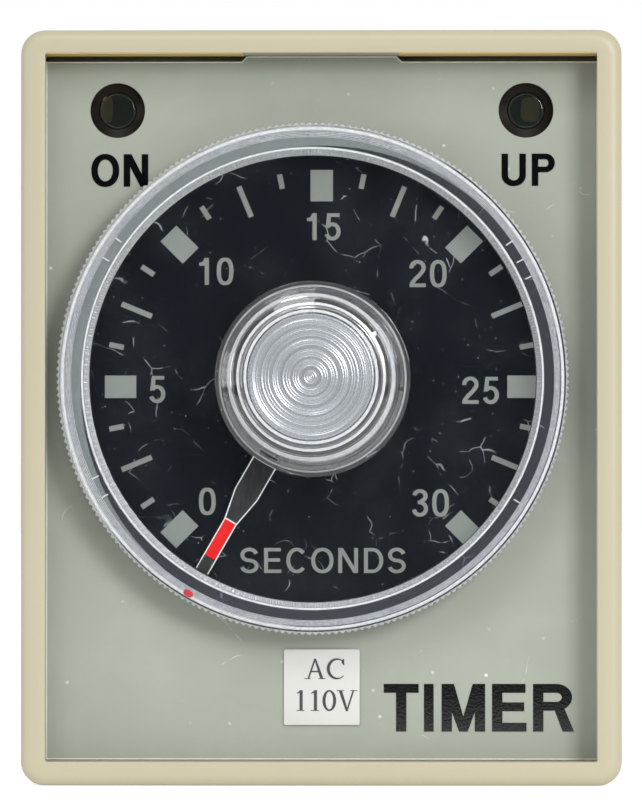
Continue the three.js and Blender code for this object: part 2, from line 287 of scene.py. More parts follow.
@dataclass(frozen=True)
class HandledFinish(Finish):
    """A finish that has been handled: dust specks, short curved scratches and scuffed patches.

    Attributes:
        mark: Colour of the marks.
        specks: Width of a dust speck's cell in millimetres.
        scratches: Width of a scratch's cell in millimetres.
        strength: How strongly the marks show.
        scuff: How strongly faint scuffed patches show.
        bend: How far a scratch strays from straight, in millimetres.
    """

    mark: str = "#c9ccd0"
    specks: float = 1.4
    scratches: float = 3.4
    strength: float = 0.5
    scuff: float = 0.05
    bend: float = 2.2

    def _masked(self, tree: Tree, value: Socket, low: float, high: float) -> Socket:
        """1 where a value is under low, falling to 0 at high.

        Args:
            tree: The material's node tree.
            value: The value to test.
            low: Below this it is 1.
            high: Above this it is 0.

        Returns:
            The mask.
        """
        return add_node(
            tree,
            "MapRange",
            {"Value": value, "From Min": low, "From Max": high, "To Min": 1.0, "To Max": 0.0},
            interpolation_type="SMOOTHSTEP",
        ).outputs["Result"]

    def _times(self, tree: Tree, first: Socket, second: Socket | float) -> Socket:
        """The product of two values."""
        return add_node(tree, "Math", {0: first, 1: second}, operation="MULTIPLY").outputs[0]

    def _colour(self, tree: Tree, place: Socket, mottle: Socket) -> Socket:
        """The mottled colour with the marks laid over it.

        Args:
            tree: The material's node tree.
            place: Coordinates of the pattern.
            mottle: The mottling, from 0 to 1.

        Returns:
            The colour with its marks.
        """
        base = super()._colour(tree, place, mottle)
        flat = add_node(
            tree, "Mapping", {"Vector": place, "Scale": (1.0, 0.0, 1.0)}
        ).outputs["Vector"]
        patch = self._masked(tree, self._noise(tree, flat, 5.0), 0.38, 0.56)
        cell = add_node(
            tree, "TexVoronoi", {"Vector": flat, "Scale": 1 / (self.specks * MM)}
        )
        dots = self._masked(tree, cell.outputs["Distance"], 0.04, 0.1)
        rare = self._masked(tree, self._noise(tree, flat, 1.1), 0.36, 0.56)
        dots = self._times(tree, dots, rare)
        bent = add_node(
            tree,
            "TexNoise",
            {"Vector": flat, "Scale": 1 / (2.4 * MM), "Detail": 1.0},
        ).outputs["Color"]
        warped = add_node(
            tree, "Mix", {0: self.bend * MM, 4: flat, 5: bent}, data_type="VECTOR"
        ).outputs[1]
        lines = add_node(
            tree,
            "TexVoronoi",
            {"Vector": warped, "Scale": 1 / (self.scratches * MM)},
            feature="DISTANCE_TO_EDGE",
        ).outputs["Distance"]
        thin = 0.022 / self.scratches
        lines = self._times(tree, self._masked(tree, lines, thin * 0.4, thin * 1.6), patch)
        broken = self._masked(tree, self._noise(tree, flat, 1.3), 0.4, 0.5)
        lines = self._times(tree, lines, broken)
        marks = add_node(tree, "Math", {0: dots, 1: lines}, operation="MAXIMUM").outputs[0]
        marks = self._times(tree, marks, self.strength)
        haze = self._times(tree, self._noise(tree, flat, 0.5), patch)
        haze = self._times(tree, haze, self.scuff)
        total = add_node(
            tree, "Math", {0: marks, 1: haze}, operation="ADD", use_clamp=True
        ).outputs[0]
        return add_node(
            tree,
            "Mix",
            {0: total, 6: base, 7: linear(self.mark)},
            data_type="RGBA",
        ).outputs[2]


@dataclass(frozen=True)
class LaminateFinish(Finish):
    """A circuit board: glass cloth under solder resist, with a weave that shows faintly."""

    def _relief(self, tree: Tree, place: Socket) -> Socket:
        """A square weave, drawn coarser than the real 0.2 mm cloth so that it holds together.

        Args:
            tree: The material's node tree.
            place: Coordinates of the pattern.

        Returns:
            The height field.
        """
        return add_node(
            tree,
            "TexChecker",
            {"Vector": place, "Scale": 1 / (0.4 * MM)},
        ).outputs["Fac"]


# Moulded ABS: satin, with faint flow marks and a fine eggshell relief.
CASE_ABS = Finish(
    "moulded_ABS_ivory", "case_abs", "#9f9982", "#9a947d", 9.0, (0.38, 0.52),
    relief=0.0035, relief_grain=0.35,
)
# The underside of the frame over the plate: painted light, a warm glowing colour that stands for the light
# falling on that underside.
PAINTED_LIGHT_ABS = Finish(
    "moulded_ABS_painted_light", "case_abs", "#ab9153", "#9e8449", 4.0, (0.4, 0.55),
    relief=0.002, glow=0.2,
)
# The front plate is the same plastic, coloured grey green; it shows only at its cut edges.
PLATE_ABS = Finish(
    "moulded_ABS_grey", "plate_abs", "#a9ad9d", "#9ea292", 5.0, (0.45, 0.6),
)
# Printed polyester film: flat, slightly marbled, with dust and hairline scratches.
LABEL_FILM = HandledFinish(
    "printed_polyester_film", "label_film", "#898e83", "#82887d", 7.0, (0.42, 0.55),
    relief=0.0015, relief_grain=0.3, mark="#dfe3d8", specks=1.6, scratches=22.0,
    strength=0.55, scuff=0.04,
)
# A painted highlight along the cut edge of the film: a light band where the edge catches light.
FILM_EDGE_HIGHLIGHT = Finish(
    "film_edge_painted_highlight", "label_film", "#d3d6cc", "#b4b8ac", 0.7, (0.3, 0.5), relief=0.006,
)
# Black screen ink on the film, seen through the knob: near black, bluish, dusty and scratched.
DIAL_INK = HandledFinish(
    "screen_ink_black", "label_film", "#181d24", "#1e242c", 3.0, (0.14, 0.24),
    relief=0.001, relief_grain=0.2, mark="#e6eaf0", specks=0.52, scratches=2.9,
    strength=1.0, scuff=0.025,
)
# Grey green screen ink of the scale, the colour of the film around it.
SCALE_INK = Finish(
    "screen_ink_grey", "label_film", "#b4b9af", "#aaafa5", 0.8, (0.45, 0.6),
    relief=0.002, relief_grain=0.12,
)
# Painted light under the knob's rim: a pale glowing ring that stands for the light the clear rim gathers
# on the film.
RIM_LIGHT_PAINT = Finish(
    "painted_rim_light", "label_film", "#ced1c2", "#c4c7b8", 2.0, (0.45, 0.6),
    relief=0.002, relief_grain=0.2, glow=0.28,
)
# Black legends on the film, with an uneven ink edge.
LEGEND_INK = Finish(
    "legend_ink_black", "label_film", "#060708", "#0c0d0e", 0.6, (0.05, 0.1),
    relief=0.003, relief_grain=0.15,
)
# Coated white paper of the rating sticker.
STICKER_PAPER = Finish(
    "coated_paper", "sticker_paper", "#b9b9b6", "#b4b4b0", 1.5, (0.55, 0.7),
    relief=0.004, relief_grain=0.12,
)
# Toner on the sticker: a softer, greyer black than the legends.
STICKER_INK = Finish(
    "laser_print_black", "sticker_paper", "#26282a", "#303234", 0.5, (0.5, 0.65),
    relief=0.002, relief_grain=0.1,
)
# Clear polystyrene: bright edges, a trace of turning marks, a faintly cool body.
CLEAR_STYRENE = Finish(
    "clear_polystyrene", "clear_styrene", "#f7f9fb", "#f2f5f8", 6.0, (0.02, 0.05),
    transmission=1.0, ior=1.59, relief=0.0004, relief_grain=0.9,
)
# The matted cone inside the rim: the same plastic, beaded white by the tool.
MATTED_STYRENE = Finish(
    "matted_polystyrene", "clear_styrene", "#eff1f4", "#8d949c", 0.16, (0.25, 0.45),
    transmission=0.35, ior=1.59, relief=0.02, relief_grain=0.15,
)
# Edges that the tool left finely streaked, made whitish as a painted highlight where the clear edges and
# rings catch light.
STREAKED_HIGHLIGHT_STYRENE = Finish(
    "streaked_polystyrene_highlight", "clear_styrene", "#f1f3f6", "#a2a9b2", 0.22, (0.15, 0.3),
    transmission=0.3, ior=1.59, relief=0.012, relief_grain=0.16,
)
# The floor of the pointer groove: clear, with the faint streaks of the cutter.
FROSTED_STYRENE = Finish(
    "frosted_polystyrene", "clear_styrene", "#5d6369", "#14181c", 0.25, (0.35, 0.5),
    transmission=0.9, ior=1.59, relief=0.01, relief_grain=0.2, stretch=(1.0, 1.0, 0.25),
)
# The channel inside the rim: clear, but hazed by fine dust that looks bluish over black.
HAZED_STYRENE = Finish(
    "hazed_polystyrene", "clear_styrene", "#e9edf5", "#ccd5e6", 0.5, (0.04, 0.08),
    transmission=0.965, ior=1.59, relief=0.006, relief_grain=0.3,
)
# The crests of the knurl, painted white: a painted highlight where the clear teeth catch light.
CREST_HIGHLIGHT_STYRENE = Finish(
    "knurl_crest_highlight", "clear_styrene", "#f6f8fa", "#9aa0a8", 0.25, (0.2, 0.4),
    transmission=0.35, ior=1.59, relief=0.01, relief_grain=0.2,
)
# The walls of the pointer groove: rough, painted white with a glow, a painted highlight for the bright
# lines the clear walls show.
POINTER_WALL_HIGHLIGHT = Finish(
    "pointer_wall_highlight", "clear_styrene", "#ffffff", "#eef1f4", 0.2, (0.3, 0.5),
    transmission=0.05, ior=1.59, relief=0.004, relief_grain=0.1, glow=0.25,
)
# The turned end of the grip: fine lathe grooves that catch the light as rings.
TURNED_STYRENE = Finish(
    "turned_polystyrene", "clear_styrene", "#a4a8ac", "#8b9096", 0.2, (0.2, 0.34),
    metallic=0.6, relief=0.004, relief_grain=0.1,
)
# Red enamel in the pointer groove and on the rim, with a painted glow that makes it brighter than a plain
# red.
POINTER_ENAMEL = Finish(
    "red_enamel_painted_glow", "red_epoxy", "#f60a06", "#ff120c", 0.7, (0.25, 0.4),
    relief=0.004, glow=0.3,
)
# The same enamel worn thin on the rim, where the plastic shows through.
WORN_ENAMEL = Finish(
    "worn_enamel_red", "red_epoxy", "#b01a22", "#8e2028", 0.3, (0.3, 0.45), relief=0.01,
)
# Smoky epoxy of an unlit lamp.
LAMP_EPOXY = Finish(
    "lamp_epoxy_smoked", "lamp_epoxy", "#47514c", "#3e4843", 1.0, (0.05, 0.1),
    transmission=0.85, ior=1.5, relief=0.001,
)
# The lead frame in the lamp, warm through the smoky lens.
LAMP_POST = Finish(
    "tinned_lead_frame", "brass", "#e0b68c", "#c79c72", 0.5, (0.45, 0.6), metallic=0.1,
)
# The dark collar round a lamp: a dull warm black, painted shade that stands for the dark inside of the
# lamp hole.
SHADE_COLLAR = Finish(
    "collar_painted_shade", "black_moulding", "#14100d", "#1a1612", 0.8, (0.08, 0.16), relief=0.001,
)
# Black nylon of the relay, the spacers and the chip: dull and even.
BLACK_MOULDING = Finish(
    "moulded_nylon_black", "black_moulding", "#1b1c1e", "#232426", 2.0, (0.4, 0.55),
)
# Phenolic moulding powder: harder gloss than ABS and a fine mineral speckle.
PHENOLIC = Finish(
    "phenolic_black", "black_phenolic", "#1d1b1a", "#2a2725", 0.6, (0.25, 0.4),
    relief=0.003, relief_grain=0.2,
)
# Glass cloth board: green resist over a weave.
LAMINATE = LaminateFinish(
    "glass_epoxy_laminate", "board_laminate", "#3a6342", "#42704a", 2.5, (0.35, 0.5),
    relief=0.006,
)
# Paper laminate: brown, with the streaks of its paper along one way.
BROWN_LAMINATE = Finish(
    "paper_phenolic_laminate", "brown_laminate", "#a07c48", "#8f6c3c", 1.2, (0.5, 0.65),
    stretch=(1.0, 1.0, 4.0),
)
# Nickel plate: a warm bright metal, polished by use.
NICKEL = Finish(
    "nickel_plate", "nickel_plate", "#c9c6bd", "#b9b6ac", 0.8, (0.22, 0.36), metallic=1.0,
    relief=0.002,
)
# Rolled brass of the contacts, bare and a little dull.
BRASS = Finish(
    "rolled_brass", "brass", "#c9a450", "#b89445", 1.0, (0.3, 0.42), metallic=1.0,
)
# Enamelled wire: copper with fine streaks along the turns.
COPPER = Finish(
    "enamelled_copper", "copper", "#b4653a", "#a35a33", 0.3, (0.3, 0.42), metallic=1.0,
    stretch=(1.0, 6.0, 1.0),
)
# Annealed iron of the relay: grey and soft in its shine.
IRON = Finish(
    "annealed_iron", "soft_iron", "#a3a5a8", "#8f9194", 1.0, (0.4, 0.55), metallic=1.0,
)
# Zinc plate: bluish, passivated yellow in patches.
ZINC = Finish(
    "zinc_plate", "zinc_plate", "#b9bcc0", "#c7c7bd", 1.2, (0.3, 0.45), metallic=1.0,
)
# Dipped red epoxy, blue shrunk sleeve and the lacquer of a resistor: glossy coats on parts.
RED_EPOXY = Finish("dipped_epoxy_red", "red_epoxy", "#8c2f22", "#7c281d", 2.0, (0.3, 0.45))
BLUE_SLEEVE = Finish("pvc_sleeve_blue", "blue_sleeve", "#27426e", "#20385f", 2.0, (0.3, 0.4))
RESISTOR_LACQUER = Finish(
    "resistor_lacquer", "resistor_body", "#9db7b5", "#8eaaa8", 1.0, (0.45, 0.6),
)

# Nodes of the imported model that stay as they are, and the finish of each.
INNER_FINISHES: dict[str, Finish] = {
    "front_board": LAMINATE,
    "main_board": LAMINATE,
    "supply_board": LAMINATE,
    "base_board": BROWN_LAMINATE,
    "pot_wafer": BROWN_LAMINATE,
    "pot_can": ZINC,
    "pot_bushing": NICKEL,
    "pot_shaft": NICKEL,
    "pot_washer": NICKEL,
    "pot_nut": NICKEL,
    "pot_rotor": BLACK_MOULDING,
    "on_lamp_spacer": BLACK_MOULDING,
    "up_lamp_spacer": BLACK_MOULDING,
    "dropper_capacitor": RED_EPOXY,
    "smoothing_capacitor": BLUE_SLEEVE,
    "timing_capacitor": BLUE_SLEEVE,
    "bridge_rectifier": BLACK_MOULDING,
    "timer_chip": BLACK_MOULDING,
    "dropper_resistor": RESISTOR_LACQUER,
    "trimmer_body": BLUE_SLEEVE,
    "trimmer_rotor": NICKEL,
    "relay_base": BLACK_MOULDING,
    "relay_cover": CLEAR_STYRENE,
    "relay_yoke": IRON,
    "relay_core": IRON,
    "relay_armature": IRON,
    "relay_bobbin": BLACK_MOULDING,
    "relay_winding": COPPER,
    "relay_return_spring": NICKEL,
    "relay_contact_carrier": CASE_ABS,
    "relay_moving_leaf_left": COPPER,
    "relay_moving_leaf_right": COPPER,
    "relay_open_contact_left": BRASS,
    "relay_open_contact_right": BRASS,
    "relay_closed_contact_left": BRASS,
    "relay_closed_contact_right": BRASS,
}


# ---------------------------------------------------------------- where things are


@dataclass(frozen=True)
class Layout:
    """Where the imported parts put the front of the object.

    Attributes:
        front: Row frame y of the front edge of the case, in millimetres.
        middle: Row frame z of the middle of the front, in millimetres.
    """

    front: float
    middle: float

    @classmethod
    def read(cls) -> Layout:
        """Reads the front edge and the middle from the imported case."""
        low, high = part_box("case")
        return cls(low.y / MM, (low.z + high.z) / 2 / MM)

    def to_row(self, point: Point3) -> Point3:
        """A point of the front as a point of the row frame, in metres."""
        x, depth, z = point
        return (x * MM, (depth + self.front) * MM, (z + self.middle) * MM)

    def span(self, node: str) -> tuple[Point3, Point3]:
        """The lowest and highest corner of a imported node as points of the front.

        Args:
            node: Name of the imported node.

        Returns:
            The two corners, in millimetres.
        """
        low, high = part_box(node)
        return tuple(
            (p.x / MM, p.y / MM - self.front, p.z / MM - self.middle) for p in (low, high)
        )

    def centre(self, node: str) -> Point2:
        """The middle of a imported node, in x and z."""
        low, high = self.span(node)
        return ((low[0] + high[0]) / 2, (low[2] + high[2]) / 2)


# ---------------------------------------------------------------- solids


class Solid:
    """Points and faces of one piece, in millimetres of the front."""

    def __init__(self) -> None:
        """Starts empty."""
        self.points: list[Point3] = []
        self.faces: list[tuple[int, ...]] = []

    def loop(self, points: Iterable[Point3]) -> list[int]:
        """Adds points and returns their numbers.

        Args:
            points: The points, in order.

        Returns:
            Their numbers in this solid.
        """
        start = len(self.points)
        self.points.extend(points)
        return list(range(start, len(self.points)))

    def bridge(self, first: Sequence[int], second: Sequence[int]) -> None:
        """Joins two closed loops of the same length, or a loop and a single point.

        Args:
            first: Numbers of the first loop.
            second: Numbers of the second loop.
        """
        count = max(len(first), len(second))
        for i in range(count):
            j = (i + 1) % count
            if len(first) == 1:
                self.faces.append((first[0], second[j], second[i]))
            elif len(second) == 1:
                self.faces.append((first[i], first[j], second[0]))
            else:
                self.faces.append((first[i], first[j], second[j], second[i]))

    def add(self, other: Solid) -> Solid:
        """Adds another solid's points and faces to this one, and returns this one.

        Args:
            other: The solid to take over.

        Returns:
            This solid.
        """
        start = len(self.points)
        self.points.extend(other.points)
        self.faces.extend(tuple(i + start for i in face) for face in other.faces)
        return self

    def build(
        self, name: str, layout: Layout, finish: Finish, smooth: float = 32.0
    ) -> Piece:
        """Makes the Blender object.

        Args:
            name: The piece's name.
            layout: Where the front is.
            finish: The piece's finish.
            smooth: Edges sharper than this angle, in degrees, stay crisp.

        Returns:
            The new object, its vertices in the row frame and its material slot set.
        """
        mesh = bpy.data.meshes.new(name)
        mesh.from_pydata([layout.to_row(p) for p in self.points], [], self.faces)
        mesh.materials.append(finish.material())
        piece = bpy.data.objects.new(name, mesh)
        bpy.context.scene.collection.objects.link(piece)
        shade(piece, smooth)
        return piece


def shade(piece: Piece, smooth: float) -> None:
    """Turns the faces outward and shades them smooth, with crisp edges.

    Args:
        piece: A mesh object.
        smooth: Edges sharper than this angle, in degrees, stay crisp.
    """
    work = bmesh.new()
    work.from_mesh(piece.data)
    bmesh.ops.recalc_face_normals(work, faces=work.faces)
    limit = math.radians(smooth)
    for face in work.faces:
        face.smooth = True
    for edge in work.edges:
        edge.smooth = len(edge.link_faces) == 2 and edge.calc_face_angle() < limit
    work.to_mesh(piece.data)
    work.free()


def arc(
    centre: Point2, radii: Point2, start: float, end: float, steps: int = 16
) -> Outline:
    """Points on an ellipse from one angle to another, in degrees, with both ends.

    Args:
        centre: Middle of the ellipse.
        radii: Its two radii.
        start: First angle.
        end: Last angle.
        steps: Number of steps.

    Returns:
        The points.
    """
    made = []
    for i in range(steps + 1):
        angle = math.radians(start + (end - start) * i / steps)
        made.append(
            (centre[0] + radii[0] * math.cos(angle), centre[1] + radii[1] * math.sin(angle))
        )
    return made


def rounded_rectangle(
    width: float, height: float, radius: float, shift: float = 0.0, steps: int = 8
) -> Outline:
    """A rectangle with rounded corners about (0, shift).

    Args:
        width: Full width.
        height: Full height.
        radius: Corner radius.
        shift: How far it is moved up.
        steps: Steps of a corner.

    Returns:
        The outline, counter-clockwise.
    """
    made: Outline = []
    for i, (sx, sz) in enumerate([(1, 1), (-1, 1), (-1, -1), (1, -1)]):
        middle = (sx * (width / 2 - radius), shift + sz * (height / 2 - radius))
        made += arc(middle, (radius, radius), 90 * i, 90 * (i + 1), steps)
    return made


def fillet(profile: Sequence[tuple[float, ...]], steps: int = 4) -> Outline:
    """Rounds the corners of an open line.

    Args:
        profile: Points (a, b) or (a, b, radius of the corner there).
        steps: Segments in each rounded corner.

    Returns:
        The line with its corners rounded, and a point held beside each one so that the
        shading of a long flat face stays flat.
    """
    made: Outline = [tuple(profile[0][:2])]
    for before, here, after in zip(profile, profile[1:], profile[2:]):
        radius = here[2] if len(here) > 2 else 0.0
        corner = Vector(here[:2])
        back = Vector(before[:2]) - corner
        ahead = Vector(after[:2]) - corner
        if radius <= 0 or back.angle(ahead) > math.pi - 0.01:
            made.append(tuple(corner))
            continue
        reach = min(radius / math.tan(back.angle(ahead) / 2), back.length / 2, ahead.length / 2)
        start = corner + back.normalized() * reach
        end = corner + ahead.normalized() * reach
        if back.length > 3 * reach:
            made.append(tuple(corner + back.normalized() * reach * 1.3))
        for i in range(steps + 1):
            t = i / steps
            spot = start * (1 - t) ** 2 + corner * 2 * t * (1 - t) + end * t**2
            made.append(tuple(spot))
        if ahead.length > 3 * reach:
            made.append(tuple(corner + ahead.normalized() * reach * 1.3))
    made.append(tuple(profile[-1][:2]))
    return made


def turned(
    profile: Sequence[Point2],
    centre: Point2 = (0.0, 0.0),
    segments: int = 96,
    closed: bool = False,
    wave: Callable[[float, float, float], float] | None = None,
) -> Solid:
    """A body turned about an axis along the depth.

    Args:
        profile: Points (radius, depth).
        centre: The axis, in x and z.
        segments: Segments round the axis.
        closed: Whether the profile's end joins its start, as for a ring.
        wave: Radius to add at a (radius, depth, angle), for knurling.

    Returns:
        The solid.
    """
    solid = Solid()
    rings: list[list[int]] = []
    for radius, depth in profile:
        if radius < 1e-6:
            rings.append(solid.loop([(centre[0], depth, centre[1])]))
            continue
        ring: list[Point3] = []
        for k in range(segments):
            angle = 2 * math.pi * k / segments
            reach = radius + (wave(radius, depth, angle) if wave else 0.0)
            x = centre[0] + reach * math.cos(angle)
            ring.append((x, depth, centre[1] + reach * math.sin(angle)))
        rings.append(solid.loop(ring))
    for first, second in zip(rings, rings[1:]):
        solid.bridge(first, second)
    if closed:
        solid.bridge(rings[-1], rings[0])
    return solid


def lofted(loops: Sequence[tuple[Outline, float]], closed: bool = True) -> Solid:
    """A body through outlines at depths; each outline has the same number of points.

    Args:
        loops: Outlines and their depths, in order.
        closed: True joins the last outline to the first.

    Returns:
        The body.
    """
    solid = Solid()
    rings = [solid.loop([(x, depth, z) for x, z in line]) for line, depth in loops]
    for first, second in zip(rings, rings[1:]):
        solid.bridge(first, second)
    if closed:
        solid.bridge(rings[-1], rings[0])
    else:
        solid.faces.append(tuple(rings[0]))
        solid.faces.append(tuple(rings[-1]))
    return solid


def counter_clockwise(outline: Outline) -> Outline:
    """The outline, running counter-clockwise."""
    area = sum(a[0] * b[1] - b[0] * a[1] for a, b in zip(outline, outline[1:] + outline[:1]))
    return outline if area > 0 else outline[::-1]


def slab(
    solids: Sequence[Outline], holes: Sequence[Outline], front: float, back: float
) -> Solid:
    """A flat plate with square edges.

    Args:
        solids: Outlines whose union is the plate.
        holes: Outlines cut from it.
        front: Depth of the front face.
        back: Depth of the back face.

    Returns:
        The closed plate.
    """
    corners: list[Vector] = []
    rings: list[list[int]] = []
    for outline in [counter_clockwise(o) for o in [*solids, *holes]]:
        rings.append(list(range(len(corners), len(corners) + len(outline))))
        corners += [Vector(p) for p in outline]
    spots, _, triangles, _, _, owners = delaunay_2d_cdt(corners, [], rings, 1, 1e-5, True)
    kept = [
        tuple(t) for t, o in zip(triangles, owners) if o and all(i < len(solids) for i in o)
    ]
    used = {spot: number for number, spot in enumerate(sorted({i for t in kept for i in t}))}
    plate = Solid()
    near = plate.loop([(spots[i].x, front, spots[i].y) for i in used])
    far = plate.loop([(spots[i].x, back, spots[i].y) for i in used])
    sides = {(a, b) for t in kept for a, b in zip(t, t[1:] + t[:1])}
    for triangle in kept:
        flat = [used[i] for i in triangle]
        plate.faces.append(tuple(near[i] for i in flat))
        plate.faces.append(tuple(far[i] for i in reversed(flat)))
    for a, b in sorted(sides):
        if (b, a) not in sides:
            i, j = used[a], used[b]
            plate.faces.append((near[j], near[i], far[i], far[j]))
    return plate


class Carving(Enum):
    """How a tool changes a piece."""

    CUT = "DIFFERENCE"
    JOIN = "UNION"


def carve(
    piece: Piece,
    tools: Sequence[Piece],
    how: Carving,
    smooth: float = 32.0,
) -> None:
    """Cuts tools from a piece, or joins them to it, and removes the tools.

    Args:
        piece: The mesh object that is changed.
        tools: Closed mesh objects.
        how: Whether the tools are cut out or joined on.
        smooth: Edges sharper than this angle, in degrees, stay crisp.
    """
    for tool in tools:
        modifier = piece.modifiers.new(tool.name, "BOOLEAN")
        modifier.object = tool
        modifier.operation = how.value
        modifier.solver = "EXACT"
    depsgraph = bpy.context.evaluated_depsgraph_get()
    mesh = bpy.data.meshes.new_from_object(piece.evaluated_get(depsgraph))
    piece.modifiers.clear()
    piece.data = mesh
    for tool in tools:
        bpy.data.objects.remove(tool)
    shade(piece, smooth)


# ---------------------------------------------------------------- lettering


def ring_of(centre: Point2, radii: Point2, power: float = 2.0, steps: int = 40) -> Outline:
    """A closed superellipse; a power over 2 squares it a little.

    Args:
        centre: Middle of the ring.
        radii: Half its width and height.
        power: 2 for an ellipse.
        steps: Number of points.

    Returns:
        The outline.
    """
    made: Outline = []
    for i in range(steps):
        angle = 2 * math.pi * i / steps
        c, s = math.cos(angle), math.sin(angle)
        x = math.copysign(abs(c) ** (2 / power), c)
        y = math.copysign(abs(s) ** (2 / power), s)
        made.append((centre[0] + radii[0] * x, centre[1] + radii[1] * y))
    return made


def bar(x0: float, y0: float, x1: float, y1: float) -> Outline:
    """An upright rectangle between two corners."""
    return [(x0, y0), (x1, y0), (x1, y1), (x0, y1)]


def ribbon(line: Outline, upright: float, level: float) -> Outline:
    """A stroke of changing width along a line.

    Args:
        line: Points on the middle of the stroke.
        upright: Width where the stroke runs up and down.
        level: Width where the stroke runs across.

    Returns:
        The closed outline of the stroke.
    """
    left: Outline = []
    right: Outline = []
    for i, (x, y) in enumerate(line):
        x0, y0 = line[max(i - 1, 0)]
        x1, y1 = line[min(i + 1, len(line) - 1)]
        run = math.hypot(x1 - x0, y1 - y0)
        across, up = (x1 - x0) / run, (y1 - y0) / run
        half = (level + (upright - level) * abs(up)) / 2
        left.append((x - up * half, y + across * half))
        right.append((x + up * half, y - across * half))
    return left + right[::-1]


class Typeface(Enum):
    """The kinds of lettering."""

    GROTESQUE = "grotesque"
    SERIF = "serif"


